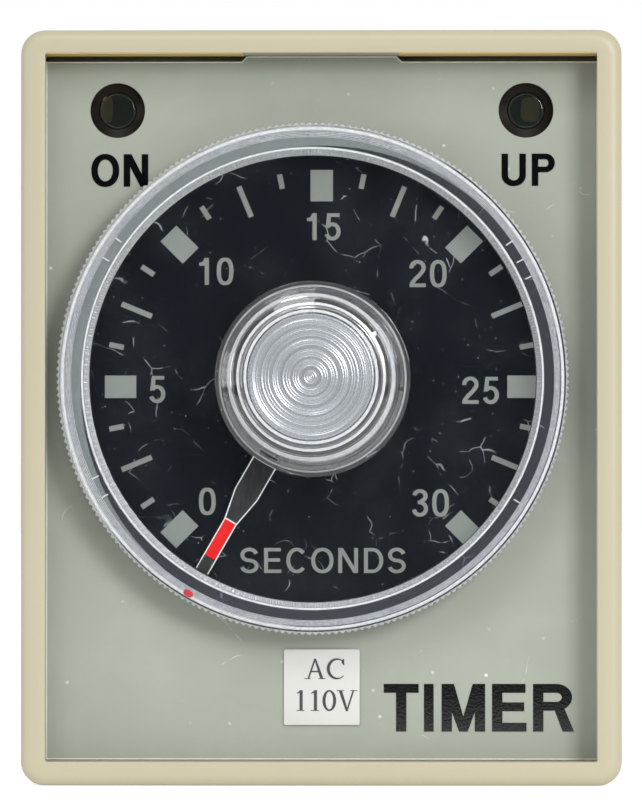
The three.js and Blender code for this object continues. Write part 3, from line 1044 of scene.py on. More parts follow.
@dataclass(frozen=True)
class Lettering:
    """Draws generic letters and figures, one unit high.

    Attributes:
        face: Plain strokes, or thick and thin ones with serifs.
        stem: Width of upright strokes.
        thin: Width of level strokes, or of the thin strokes of a serif face.
    """

    face: Typeface = Typeface.GROTESQUE
    stem: float = 0.15
    thin: float = 0.13

    def glyph(self, letter: str, width: float) -> tuple[list[Outline], list[Outline]]:
        """The solid outlines and the holes of one letter of that width.

        Args:
            letter: The letter to draw.
            width: Its width in letter heights.

        Returns:
            Solid outlines and holes, on a letter of height 1.
        """
        if self.face is Typeface.SERIF:
            return self._serif(letter, width)
        if letter in "0O":
            return self._round(letter, width)
        if letter.isdigit():
            return self._figure(letter, width), []
        return self._capital(letter, width)

    def _round(self, letter: str, width: float) -> tuple[list[Outline], list[Outline]]:
        """The letter O, and the narrower nought.

        Args:
            letter: The letter to draw.
            width: Its width in letter heights.

        Returns:
            Solid outlines and holes.
        """
        power = 2.5 if letter == "0" else 2.15
        middle = (width / 2, 0.5)
        outer = ring_of(middle, (width / 2, 0.51), power)
        inner = ring_of(middle, (width / 2 - self.stem, 0.51 - self.thin), power - 0.1)
        return [outer], [inner]

    def _figure(self, letter: str, width: float) -> list[Outline]:
        """The figures 1, 2, 3 and 5 and the other plain ones.

        Args:
            letter: The letter to draw.
            width: Its width in letter heights.

        Returns:
            Solid outlines.
        """
        s, t, w = self.stem, self.thin, width
        if letter == "1":
            flag = arc((w - s - 0.16, 1.02), (0.14, 0.19), -90, -8, 6)
            return [bar(w - s, 0, w, 1), [*flag, (w - s / 2, 1), (w - s / 2, 0.71), (0, 0.71), (0, 0.83)]]
        if letter == "2":
            top = arc((w / 2, 0.72), (w / 2 - s / 2, 0.29 - t / 2), 186, -28, 22)
            tail = [(w * 0.62, 0.45), (w * 0.36, 0.3), (w * 0.16, 0.14), (s * 0.52, 0.02)]
            return [ribbon(top + tail, s, t), bar(0.01, 0, w, t)]
        if letter == "3":
            top = arc((w / 2, 0.755), (w / 2 - s * 0.6, 0.255 - t / 2), 172, -88, 22)
            low = arc((w / 2, 0.285), (w / 2 - s / 2, 0.295 - t / 2), 88, -172, 24)
            return [
                ribbon(top, s, t),
                ribbon(low, s, t),
                bar(w * 0.36, 0.51 - t / 2 + 0.01, w * 0.55, 0.51 + t / 2 + 0.01),
            ]
        if letter == "4":
            return [
                bar(w * 0.62, 0, w * 0.62 + s, 1),
                bar(0, 0.22, w, 0.22 + t),
                [(0, 0.22), (s, 0.22), (w * 0.62 + s, 1), (w * 0.5, 1)],
            ]
        if letter == "5":
            bowl = arc((w * 0.49, 0.325), (w * 0.51 - s / 2, 0.335 - t / 2), 142, -160, 26)
            stem = [(w * 0.17, 1), (w * 0.17 + s * 0.86, 1), (w * 0.1 + s, 0.5), (w * 0.06, 0.44)]
            return [bar(w * 0.18, 1 - t, w * 0.93, 1), stem, ribbon(bowl, s, t)]
        if letter == "6":
            bowl = ring_of((w / 2, 0.32), (w / 2 - s / 2, 0.32 - t / 2))
            back = arc((w * 0.56, 0.5), (w * 0.56 - s / 2, 0.5 - t / 2), 60, 200, 18)
            return [ribbon(bowl[:-1], s, t), ribbon(back, s, t)]
        if letter == "7":
            return [bar(0, 1 - t, w, 1), [(w - s, 1), (w, 1), (w * 0.45, 0), (w * 0.45 - s, 0)]]
        top = ring_of((w / 2, 0.755), (w / 2 - s * 0.6, 0.255 - t / 2))
        low = ring_of((w / 2, 0.285), (w / 2 - s / 2, 0.295 - t / 2))
        return [ribbon([*top, top[0]], s, t), ribbon([*low, low[0]], s, t)]

    def _capital(self, letter: str, width: float) -> tuple[list[Outline], list[Outline]]:
        """The capitals of the legends.

        Args:
            letter: The letter to draw.
            width: Its width in letter heights.

        Returns:
            Solid outlines and holes.
        """
        s, t, w = self.stem, self.thin, width
        stem = bar(0, 0, s, 1)
        if letter == "T":
            return [bar(0, 1 - t, w, 1), bar(w / 2 - s / 2, 0, w / 2 + s / 2, 1)], []
        if letter == "I":
            return [bar(0, 0, w, 1)], []
        if letter == "E":
            middle = bar(0, 0.52 - t / 2, w * 0.93, 0.52 + t / 2)
            return [stem, bar(0, 0, w, t), middle, bar(0, 1 - t, w * 0.97, 1)], []
        if letter == "N":
            diagonal = [(0, 1), (s * 1.2, 1), (w, 0), (w - s * 1.2, 0)]
            return [stem, bar(w - s, 0, w, 1), diagonal], []
        if letter == "M":
            left = [(0, 1), (s * 1.2, 1), (w / 2 + s * 0.42, 0), (w / 2 - s * 0.42, 0)]
            right = [(w - x, y) for x, y in left]
            return [stem, bar(w - s, 0, w, 1), left, right], []
        if letter == "U":
            bowl = arc((w / 2, 0.33), (w / 2 - s / 2, 0.34 - t / 2), 180, 360, 20)
            return [ribbon([(s / 2, 1), *bowl, (w - s / 2, 1)], s, t)], []
        if letter == "C":
            line = arc((w * 0.51, 0.5), (w * 0.51 - s / 2, 0.51 - t / 2), 42, 318, 34)
            return [ribbon(line, s, t)], []
        if letter == "S":
            c = (0.51 - t / 2) / 2
            half = w / 2 - s / 2
            top = arc((w / 2, 0.5 + c), (half * 0.96, c), 12, 270, 20)
            low = arc((w / 2, 0.5 - c), (half, c), 90, -168, 20)
            return [ribbon([*top, *low[1:]], s, t)], []
        low = {"D": 0.0, "P": 0.42, "R": 0.44}[letter]
        outer, inner = self._bowl(low, s, t, w * (0.95 if letter == "R" else 1.0))
        if letter != "R":
            return [stem, outer], [inner]
        leg = [(w * 0.48, low + t * 0.6), (w * 0.48 + s, low + t * 0.6), (w, 0), (w - s * 1.12, 0)]
        return [stem, outer, leg], [inner]

    def _bowl(self, low: float, s: float, t: float, w: float) -> tuple[Outline, Outline]:
        """The outline and the hole of a bowl from a height to the top.

        Args:
            low: Height where it starts.
            s: Upright stroke.
            t: Level stroke.
            w: Width of the letter.

        Returns:
            Outline and hole.
        """
        reach = w * (0.55 if low == 0 else 0.4)
        middle = (w - reach, (1 + low) / 2)
        outer = arc(middle, (reach, (1 - low) / 2), -90, 90, 20)
        inner = arc(middle, (reach - s, (1 - low) / 2 - t), -90, 90, 18)
        return [(s * 0.5, low), *outer, (s * 0.5, 1)], [(s, low + t), *inner, (s, 1 - t)]

    def _serif(self, letter: str, width: float) -> tuple[list[Outline], list[Outline]]:
        """The letters and figures of the rating, thick and thin with serifs.

        Args:
            letter: The letter to draw.
            width: Its width in letter heights.

        Returns:
            Solid outlines and holes.
        """
        s, t, w = self.stem, self.thin, width
        foot = 0.035
        if letter == "A":
            thick = [(w * 0.46, 1), (w * 0.54, 1), (w * 0.9, 0.02), (w * 0.9 - s * 1.1, 0.02)]
            slim = [(w * 0.46, 1), (w * 0.52, 0.92), (w * 0.14 + t, 0.02), (w * 0.14, 0.02)]
            feet = [bar(0, 0, w * 0.3, foot), bar(w * 0.64, 0, w, foot)]
            return [thick, slim, bar(w * 0.26, 0.33, w * 0.7, 0.33 + t * 0.9), *feet], []
        if letter == "V":
            thick = [(w * 0.1, 0.98), (w * 0.1 + s * 1.1, 0.98), (w * 0.55, 0.04), (w * 0.46, -0.02)]
            slim = [(w * 0.86 - t, 0.98), (w * 0.86, 0.98), (w * 0.54, -0.02), (w * 0.46, -0.02)]
            heads = [bar(0, 1 - foot, w * 0.38, 1), bar(w * 0.68, 1 - foot, w, 1)]
            return [thick, slim, *heads], []
        if letter == "C":
            outer = arc((w * 0.53, 0.5), (w * 0.53, 0.52), 52, 318, 30)
            inner = arc((w * 0.6, 0.5), (w * 0.6 - s, 0.52 - t), 314, 56, 26)
            tip = [(w * 0.87, 0.98), (w * 0.94, 0.98), (w * 0.95, 0.68), (w * 0.9, 0.68), (w * 0.78, 0.84)]
            return [outer + inner, tip], []
        if letter == "1":
            flag = [(w * 0.02, 0.86), (w * 0.5, 1), (w * 0.5, 0.88), (w * 0.04, 0.83)]
            return [bar(w * 0.38, 0, w * 0.38 + s, 1), flag, bar(0, 0, w, foot)], []
        outer = ring_of((w / 2, 0.5), (w / 2, 0.51))
        inner = ring_of((w / 2, 0.5), (w / 2 - s, 0.51 - t))
        return [outer], [inner]

    def line(
        self,
        text: str,
        spans: Sequence[Point2],
        baseline: float,
        height: float,
        front: float,
        back: float,
    ) -> Solid:
        """Sets a line of text as a thin slab.

        Args:
            text: The letters.
            spans: The left and right edge of each letter, in millimetres.
            baseline: Height of the foot of the letters.
            height: Height of a capital.
            front: Depth of the face of the ink.
            back: Depth of the back of the ink.

        Returns:
            All the letters as one solid.
        """
        made = Solid()
        for letter, (left, right) in zip(text, spans):
            solids, holes = self.glyph(letter, (right - left) / height)
            placed = [
                [[(left + x * height, baseline + y * height) for x, y in line] for line in group]
                for group in (solids, holes)
            ]
            made.add(slab(placed[0], placed[1], front, back))
        return made


def spread(
    left: float, height: float, widths: Sequence[float], gaps: Sequence[float]
) -> list[Point2]:
    """The left and right edges of letters, from widths and gaps in letter heights.

    Args:
        left: Left edge of the first letter.
        height: Letter height.
        widths: Width of each letter.
        gaps: Gap after each letter.

    Returns:
        The edges of each letter.
    """
    made: list[Point2] = []
    for i, width in enumerate(widths):
        made.append((left, left + width * height))
        left += (width + (gaps[i] if i < len(gaps) else 0)) * height
    return made


# ---------------------------------------------------------------- the case


@dataclass
class CaseMoulding:
    """The ivory case: frame, walls, clip grooves and screw bosses.

    Attributes:
        width: Width of the front frame.
        height: Height of the front frame.
        frame_depth: Depth of the front frame.
        edge: Radius of the frame's rim.
        corner: Radius of the frame's corners.
        step: How far the walls stand inside the frame.
        wall: Wall thickness.
        mouth: Width, height and shift up of the opening.
        lip: Radius of the opening's edge.
        draft: How much the opening widens to each side down to its ledge.
        seat: Depth of the ledge behind the front plate.
        back: Depth of the case's back edge.
        groove: Depth, length, front and back of the clip groove.
        boss: Outer radius, hole radius and front of a screw boss.
        boss_z: Height of the bosses above and below the middle.
        lit_edge: Inner and outer end, front and back of the strips of painted light beside the lug.
    """

    layout: Layout
    width: float = 40.0
    height: float = 50.3
    frame_depth: float = 4.5
    edge: float = 0.7
    corner: float = 1.6
    step: float = 0.7
    wall: float = 1.5
    mouth: Point3 = (36.7, 47.15, 0.025)
    lip: float = 0.07
    draft: float = 0.2
    seat: float = 5.15
    back: float = 52.6
    groove: tuple[float, float, float, float] = (0.8, 12.0, 9.0, 11.5)
    boss: Point3 = (3.0, 1.6, 42.0)
    boss_z: float = 20.4
    lit_edge: tuple[float, float, float, float] = (5.2, 18.3, 0.06, 3.2)

    def build(self) -> list[Piece]:
        """Builds the moulding and the strips of painted light under its mouth's top edge.

        Returns:
            The two pieces.
        """
        solid = lofted(self._outside() + self._inside())
        case = solid.build("case_moulding", self.layout, CASE_ABS)
        carve(case, self._grooves(), Carving.CUT)
        carve(case, self._bosses(), Carving.JOIN)
        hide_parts("case")
        return [case, self._mouth_edge()]

    def _mouth_edge(self) -> Piece:
        """Strips on the underside of the frame over the front plate, painted warm and glowing: painted
        light.

        Returns:
            The strip.
        """
        top = self.mouth[1] / 2 + self.mouth[2]
        inner, outer, front, back = self.lit_edge
        solid = Solid()
        # Painted light: warm glowing strips under the frame's top edge.
        for left, right in ((-outer, -inner), (inner, outer)):
            solid.add(slab([bar(left, top - 0.04, right, top + 0.02)], [], front, back))
        return solid.build("case_mouth_painted_light", self.layout, PAINTED_LIGHT_ABS)

    def _rim(self, inset: float, depth: float) -> tuple[Outline, float]:
        """The frame's outline, set in from its full width.

        Args:
            inset: How far it is set in.
            depth: Depth of the outline.

        Returns:
            The outline and its depth.
        """
        radius = max(self.corner - inset * 0.6, 0.5)
        size = (self.width - 2 * inset, self.height - 2 * inset)
        return rounded_rectangle(*size, radius), depth

    def _outside(self) -> list[tuple[Outline, float]]:
        """Outlines from the back edge of the walls to the front of the frame.

        Returns:
            Outlines and depths.
        """
        wide, tall = self.width - 2 * self.step, self.height - 2 * self.step
        loops = [
            (rounded_rectangle(wide - 0.3, tall - 0.3, 1.3), self.back),
            (rounded_rectangle(wide - 0.08, tall - 0.08, 1.36), self.back - 0.06),
            (rounded_rectangle(wide, tall, 1.4), self.back - 0.2),
            (rounded_rectangle(wide, tall, 1.4), self.frame_depth + 0.35),
        ]
        for i in range(5):
            turn = math.radians(90 * i / 4)
            inset = self.edge * (1 - math.sin(turn))
            loops.append(self._rim(inset, self.frame_depth - self.edge * (1 - math.cos(turn))))
        for i in range(7):
            turn = math.radians(90 * i / 6)
            inset = self.edge * (1 - math.cos(turn))
            loops.append(self._rim(inset, self.edge * (1 - math.sin(turn))))
        return loops

    def _inside(self) -> list[tuple[Outline, float]]:
        """Outlines from the lip of the opening to the back edge of the cavity.

        Returns:
            Outlines and depths.
        """
        wide, tall, shift = self.mouth
        loops = []
        for i in range(5):
            turn = math.radians(90 * i / 4)
            out = 2 * self.lip * (1 - math.sin(turn))
            depth = self.lip * (1 - math.cos(turn))
            radius = 0.15 + out / 2
            loops.append((rounded_rectangle(wide + out, tall + out, radius, shift), depth))
        loops.append((rounded_rectangle(wide + 2 * self.draft, tall, 0.15, shift), self.seat))
        taken = 2 * (self.step + self.wall)
        inner = (self.width - taken, self.height - taken)
        loops.append((rounded_rectangle(*inner, 0.6), self.seat + 0.01))
        loops.append((rounded_rectangle(*inner, 0.6), self.back))
        return loops

    def _grooves(self) -> list[Piece]:
        """The tools that cut the clip grooves.

        Returns:
            One tool for each side.
        """
        deep, long, front, back = self.groove
        side = self.width / 2 - self.step
        tools = []
        for sign in (-1, 1):
            outline = rounded_rectangle(2 * deep, long, 0.4)
            moved = [(x + sign * side, z) for x, z in outline]
            tool = slab([moved], [], front, back)
            tools.append(tool.build(f"groove_{sign}", self.layout, CASE_ABS))
        return tools

    def _bosses(self) -> list[Piece]:
        """The screw bosses, as tubes to join to the walls.

        Returns:
            The two tubes.
        """
        outer, hole, front = self.boss
        profile = [(hole, front), (outer, front), (outer, self.back), (hole, self.back)]
        return [
            turned(profile, (0, sign * self.boss_z), 48, closed=True).build(
                f"boss_{sign}", self.layout, CASE_ABS
            )
            for sign in (-1, 1)
        ]


# ---------------------------------------------------------------- the front


@dataclass
class FrontPanel:
    """The front plate, the printed film on it, the scale, the legends and the sticker.

    Attributes:
        left: Left edge of the plate and of the film.
        right: Their right edge, which the lip of the case just covers.
        bottom: Height of their bottom edge.
        top: Height of their top edge.
        lug: Width and height of the lug at the top.
        lamp_hole: Radius of the lamp holes.
        shaft_hole: Radius of the hole for the bushing.
        print_centre: Middle of the printed scale.
        dial: Radius of the black dial.
        rim_light_band: Outer and inner radius of the ring of painted light under the knob's rim.
        ink: Thickness of a layer of ink, drawn thick enough to cast an edge.
        blocks: Inner radius, outer radius and width of the main marks.
        ticks: Inner radius of long ticks, of short ticks, outer radius and width.
        figure_height: Height of the figures.
        unit_height: Height of the unit's letters.
    """

    layout: Layout
    left: float = -18.46
    right: float = 18.46
    bottom: float = -23.5
    top: float = 23.2
    lug: Point2 = (10.0, 0.36)
    lamp_hole: float = 1.84
    shaft_hole: float = 3.8
    print_centre: Point2 = (0.01, 1.42)
    dial: float = 16.1
    rim_light_band: Point2 = (16.75, 14.9)
    ink: float = 0.04
    blocks: Point3 = (12.4, 14.5, 1.5)
    ticks: tuple[float, float, float, float] = (12.3, 13.5, 14.48, 0.35)
    figure_height: float = 1.8
    unit_height: float = 1.67

    def build(self) -> list[Piece]:
        """Builds and dresses the front, and returns its pieces.

        Returns:
            The pieces of the front.
        """
        near, far = self.layout.span("front_plate")
        plate = slab([self._outline()], self._holes(), near[1], far[1])
        pieces = [plate.build("front_plate_moulding", self.layout, PLATE_ABS)]
        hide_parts("front_plate")
        near, far = self.layout.span("face_label")
        label = slab([self._outline()], self._holes(), near[1], far[1])
        pieces.append(label.build("face_film", self.layout, LABEL_FILM))
        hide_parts("face_label")
        face = near[1]
        # Painted highlight: a light band round the film's cut edge.
        edge = slab([self._outline()], [self._outline(0.075)], face - 0.02, face + 0.02)
        pieces.append(edge.build("face_film_painted_highlight", self.layout, FILM_EDGE_HIGHLIGHT))
        pieces += [self._rim_light_paint(face), self._dial(face), self._scale(face), self._figures(face)]
        pieces += self._legends(face)
        pieces += self._sticker()
        return pieces

    def _outline(self, inset: float = 0.0) -> Outline:
        """Square corners and a lug at the top with sloped ends, set in by a margin.

        Args:
            inset: The margin.

        Returns:
            The outline.
        """
        lug, rise = self.lug
        left, right, top = self.left + inset, self.right - inset, self.top - inset
        half = lug / 2 - inset * 0.4
        return [
            (left, self.bottom + inset),
            (right, self.bottom + inset),
            (right, top),
            (half + rise, top),
            (half, top + rise),
            (-half, top + rise),
            (-half - rise, top),
            (left, top),
        ]

    def _holes(self) -> list[Outline]:
        """The lamp holes and the hole for the bushing.

        Returns:
            Their outlines.
        """
        lamps = [self.layout.centre(name) for name in ("on_lamp", "up_lamp")]
        made = [ring_of(spot, (self.lamp_hole, self.lamp_hole), steps=72) for spot in lamps]
        reach = (self.shaft_hole, self.shaft_hole)
        return [*made, ring_of(self.layout.centre("pot_shaft"), reach, steps=72)]

    def _rim_light_paint(self, face: float) -> Piece:
        """A ring of painted light under the knob's rim, left free by the black dial at the left.

        Args:
            face: Depth of the film's front face.

        Returns:
            The ring of painted light.
        """
        axis = self.layout.centre("pot_shaft")
        outer, inner = (ring_of(axis, (reach, reach), steps=240) for reach in self.rim_light_band)
        # Painted light: a pale glowing ring on the film under the rim.
        solid = slab([outer], [inner], face - self.ink / 2, face + 0.01)
        return solid.build("rim_painted_light", self.layout, RIM_LIGHT_PAINT)

    def _dial(self, face: float) -> Piece:
        """The black disc of the dial.

        Args:
            face: Depth of the film's front face.

        Returns:
            The printed disc.
        """
        disc = ring_of(self.print_centre, (self.dial, self.dial), steps=240)
        reach = (self.shaft_hole, self.shaft_hole)
        hole = ring_of(self.layout.centre("pot_shaft"), reach, steps=72)
        solid = slab([disc], [hole], face - self.ink, face + 0.01)
        return solid.build("dial_print", self.layout, DIAL_INK)

    def _radial(self, degrees: float, inner: float, outer: float, width: float) -> Outline:
        """A bar along a radius, at an angle clockwise from the top.

        Args:
            degrees: Its angle.
            inner: Inner radius.
            outer: Outer radius.
            width: Width of the bar.

        Returns:
            The outline of the bar.
        """
        turn = math.radians(degrees)
        along = (math.sin(turn), math.cos(turn))
        side = (math.cos(turn) * width / 2, -math.sin(turn) * width / 2)
        x, z = self.print_centre
        ends = [(inner, -1), (outer, -1), (outer, 1), (inner, 1)]
        return [
            (x + along[0] * r + side[0] * s, z + along[1] * r + side[1] * s) for r, s in ends
        ]

    def _scale(self, face: float) -> Piece:
        """Main marks every 45 degrees, with a long tick between two short ones.

        Args:
            face: Depth of the film's front face.

        Returns:
            The printed marks.
        """
        solid = Solid()
        front, back = face - 2 * self.ink, face - self.ink + 0.01
        long, short, outer, width = self.ticks
        for i in range(25):
            degrees = -135 + 11.25 * i
            if i % 4 == 0:
                mark = self._radial(degrees, *self.blocks)
            else:
                mark = self._radial(degrees, long if i % 4 == 2 else short, outer, width)
            solid.add(slab([mark], [], front, back))
        return solid.build("scale_marks", self.layout, SCALE_INK)

    def _figures(self, face: float) -> Piece:
        """The figures of the scale and the unit under the knob.

        Args:
            face: Depth of the film's front face.

        Returns:
            The printed figures.
        """
        pen = Lettering(stem=0.155, thin=0.135)
        widths = {"0": 0.62, "1": 0.36, "2": 0.61, "3": 0.6, "5": 0.6}
        # Middle of each figure's ink and its baseline, from the middle of the front.
        places = {
            "0": (-7.64, -7.14), "5": (-10.99, 0.35), "10": (-7.04, 8.24), "15": (0.15, 11.22),
            "20": (7.11, 8.08), "25": (10.62, 0.28), "30": (7.27, -7.24),
        }
        front, back = face - 2 * self.ink, face - self.ink + 0.01
        solid = Solid()
        for text, (middle, baseline) in places.items():
            sizes = [widths[c] for c in text]
            gap = 0.29 if text[0] == "1" else 0.155
            total = (sum(sizes) + gap * (len(text) - 1)) * self.figure_height
            spans = spread(middle - total / 2, self.figure_height, sizes, [gap])
            solid.add(pen.line(text, spans, baseline, self.figure_height, front, back))
        sizes = [0.74, 0.69, 0.83, 0.89, 0.79, 0.77, 0.72]
        gaps = [0.22, 0.2, 0.17, 0.19, 0.24, 0.18]
        spans = spread(-5.45, self.unit_height, sizes, gaps)
        solid.add(pen.line("SECONDS", spans, -11.02, self.unit_height, front, back))
        return solid.build("scale_figures", self.layout, SCALE_INK)

    def _legends(self, face: float) -> list[Piece]:
        """The lamp legends and the name of the device.

        Args:
            face: Depth of the film's front face.

        Returns:
            The printed words.
        """
        front, back = face - self.ink, face + 0.01
        small = Lettering(stem=0.2, thin=0.175)
        large = Lettering(stem=0.215, thin=0.185)
        lines = {
            "legend_on": small.line(
                "ON", [(-15.43, -13.56), (-13.26, -11.62)], 14.84, 2.17, front, back
            ),
            "legend_up": small.line(
                "UP", [(12.04, 13.66), (14.06, 15.6)], 14.88, 2.15, front, back
            ),
            "legend_timer": large.line(
                "TIMER",
                [(4.15, 6.48), (6.84, 7.48), (8.02, 10.92), (11.39, 13.69), (14.13, 16.87)],
                -21.62, 3.18, front, back,
            ),
        }
        return [
            solid.build(name, self.layout, LEGEND_INK) for name, solid in lines.items()
        ]

    def _sticker(self) -> list[Piece]:
        """The paper sticker with a softly rounded edge, and its rating.

        Returns:
            The paper and its print.
        """
        near, far = self.layout.span("rating_sticker")
        x, z = self.layout.centre("rating_sticker")
        size = far[0] - near[0]
        loops = []
        for inset, share in ((0.0, 1.0), (0.0, 0.35), (0.02, 0.12), (0.07, 0.0)):
            line = rounded_rectangle(size - 2 * inset, size - 2 * inset, 0.12, 0.0, 3)
            moved = [(px + x, pz + z) for px, pz in line]
            loops.append((moved, near[1] + (far[1] - near[1]) * share))
        paper = lofted(loops, closed=False).build("sticker_paper", self.layout, STICKER_PAPER)
        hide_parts("rating_sticker")
        pen = Lettering(Typeface.SERIF, stem=0.15, thin=0.08)
        front, back = near[1] - 0.02, near[1] + 0.01
        text = pen.line("AC", [(-1.14, 0.26), (0.34, 1.58)], -18.11, 1.36, front, back)
        spans = [(-1.68, -1.15), (-0.73, -0.18), (0.05, 0.97), (1.0, 2.36)]
        text.add(pen.line("110V", spans, -20.24, 1.38, front, back))
        return [paper, text.build("sticker_print", self.layout, STICKER_INK)]


@dataclass
class Lamp:
    """One unlit lamp in its hole: a smoky domed lens over a small lead frame.

    Attributes:
        node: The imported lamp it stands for.
        post: Centre offset, width and height of the part of the lead frame that shows.
    """

    layout: Layout
    node: str
    post: tuple[float, float, float, float]

    def build(self) -> list[Piece]:
        """Builds the lens, the lead frame and the dark collar behind the hole, whose near black is painted
        shade.

        Returns:
            The three pieces of the lamp.
        """
        near, far = self.layout.span(self.node)
        centre = self.layout.centre(self.node)
        tip, foot = near[1], far[1]
        profile = fillet(
            [
                (0, tip), (1.1, tip + 0.01, 0.1), (1.22, tip + 0.1, 0.05), (1.24, tip + 1.5, 0.3),
                (1.24, foot - 1.0), (1.9, foot - 1.0, 0.1), (1.9, foot, 0.1), (0, foot),
            ],
            5,
        )
        lens = turned(profile, centre, 72).build(f"{self.node}_lens", self.layout, LAMP_EPOXY)
        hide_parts(self.node)
        dx, dz, wide, tall = self.post
        x, z = centre[0] + dx, centre[1] + dz
        outline = ring_of((x, z), (wide / 2, tall / 2), 3.0)
        cup = slab([outline], [], tip + 0.25, tip + 1.3)
        frame = cup.build(f"{self.node}_lead_frame", self.layout, LAMP_POST)
        ring = turned(
            [
                (1.26, tip + 0.08), (1.8, tip + 0.02), (1.82, tip + 0.08), (1.82, 4.9),
                (1.6, 4.9), (1.6, 5.5), (1.26, 5.5),
            ],
            centre,
            64,
            closed=True,
        )
        # Painted shade: the collar's near black stands for the dark lamp hole.
        collar = ring.build(f"{self.node}_collar", self.layout, SHADE_COLLAR)
        return [lens, frame, collar]


# ---------------------------------------------------------------- the knob


def turned_outline(outline: Outline, centre: Point2, degrees: float) -> Outline:
    """Turns an outline drawn upwards from an axis to an angle, clockwise from the top.

    Args:
        outline: The outline, about (0, 0).
        centre: The axis, in x and z.
        degrees: The angle.

    Returns:
        The turned outline.
    """
    turn = math.radians(degrees)
    c, s = math.cos(turn), math.sin(turn)
    return [(centre[0] + x * c + z * s, centre[1] - x * s + z * c) for x, z in outline]


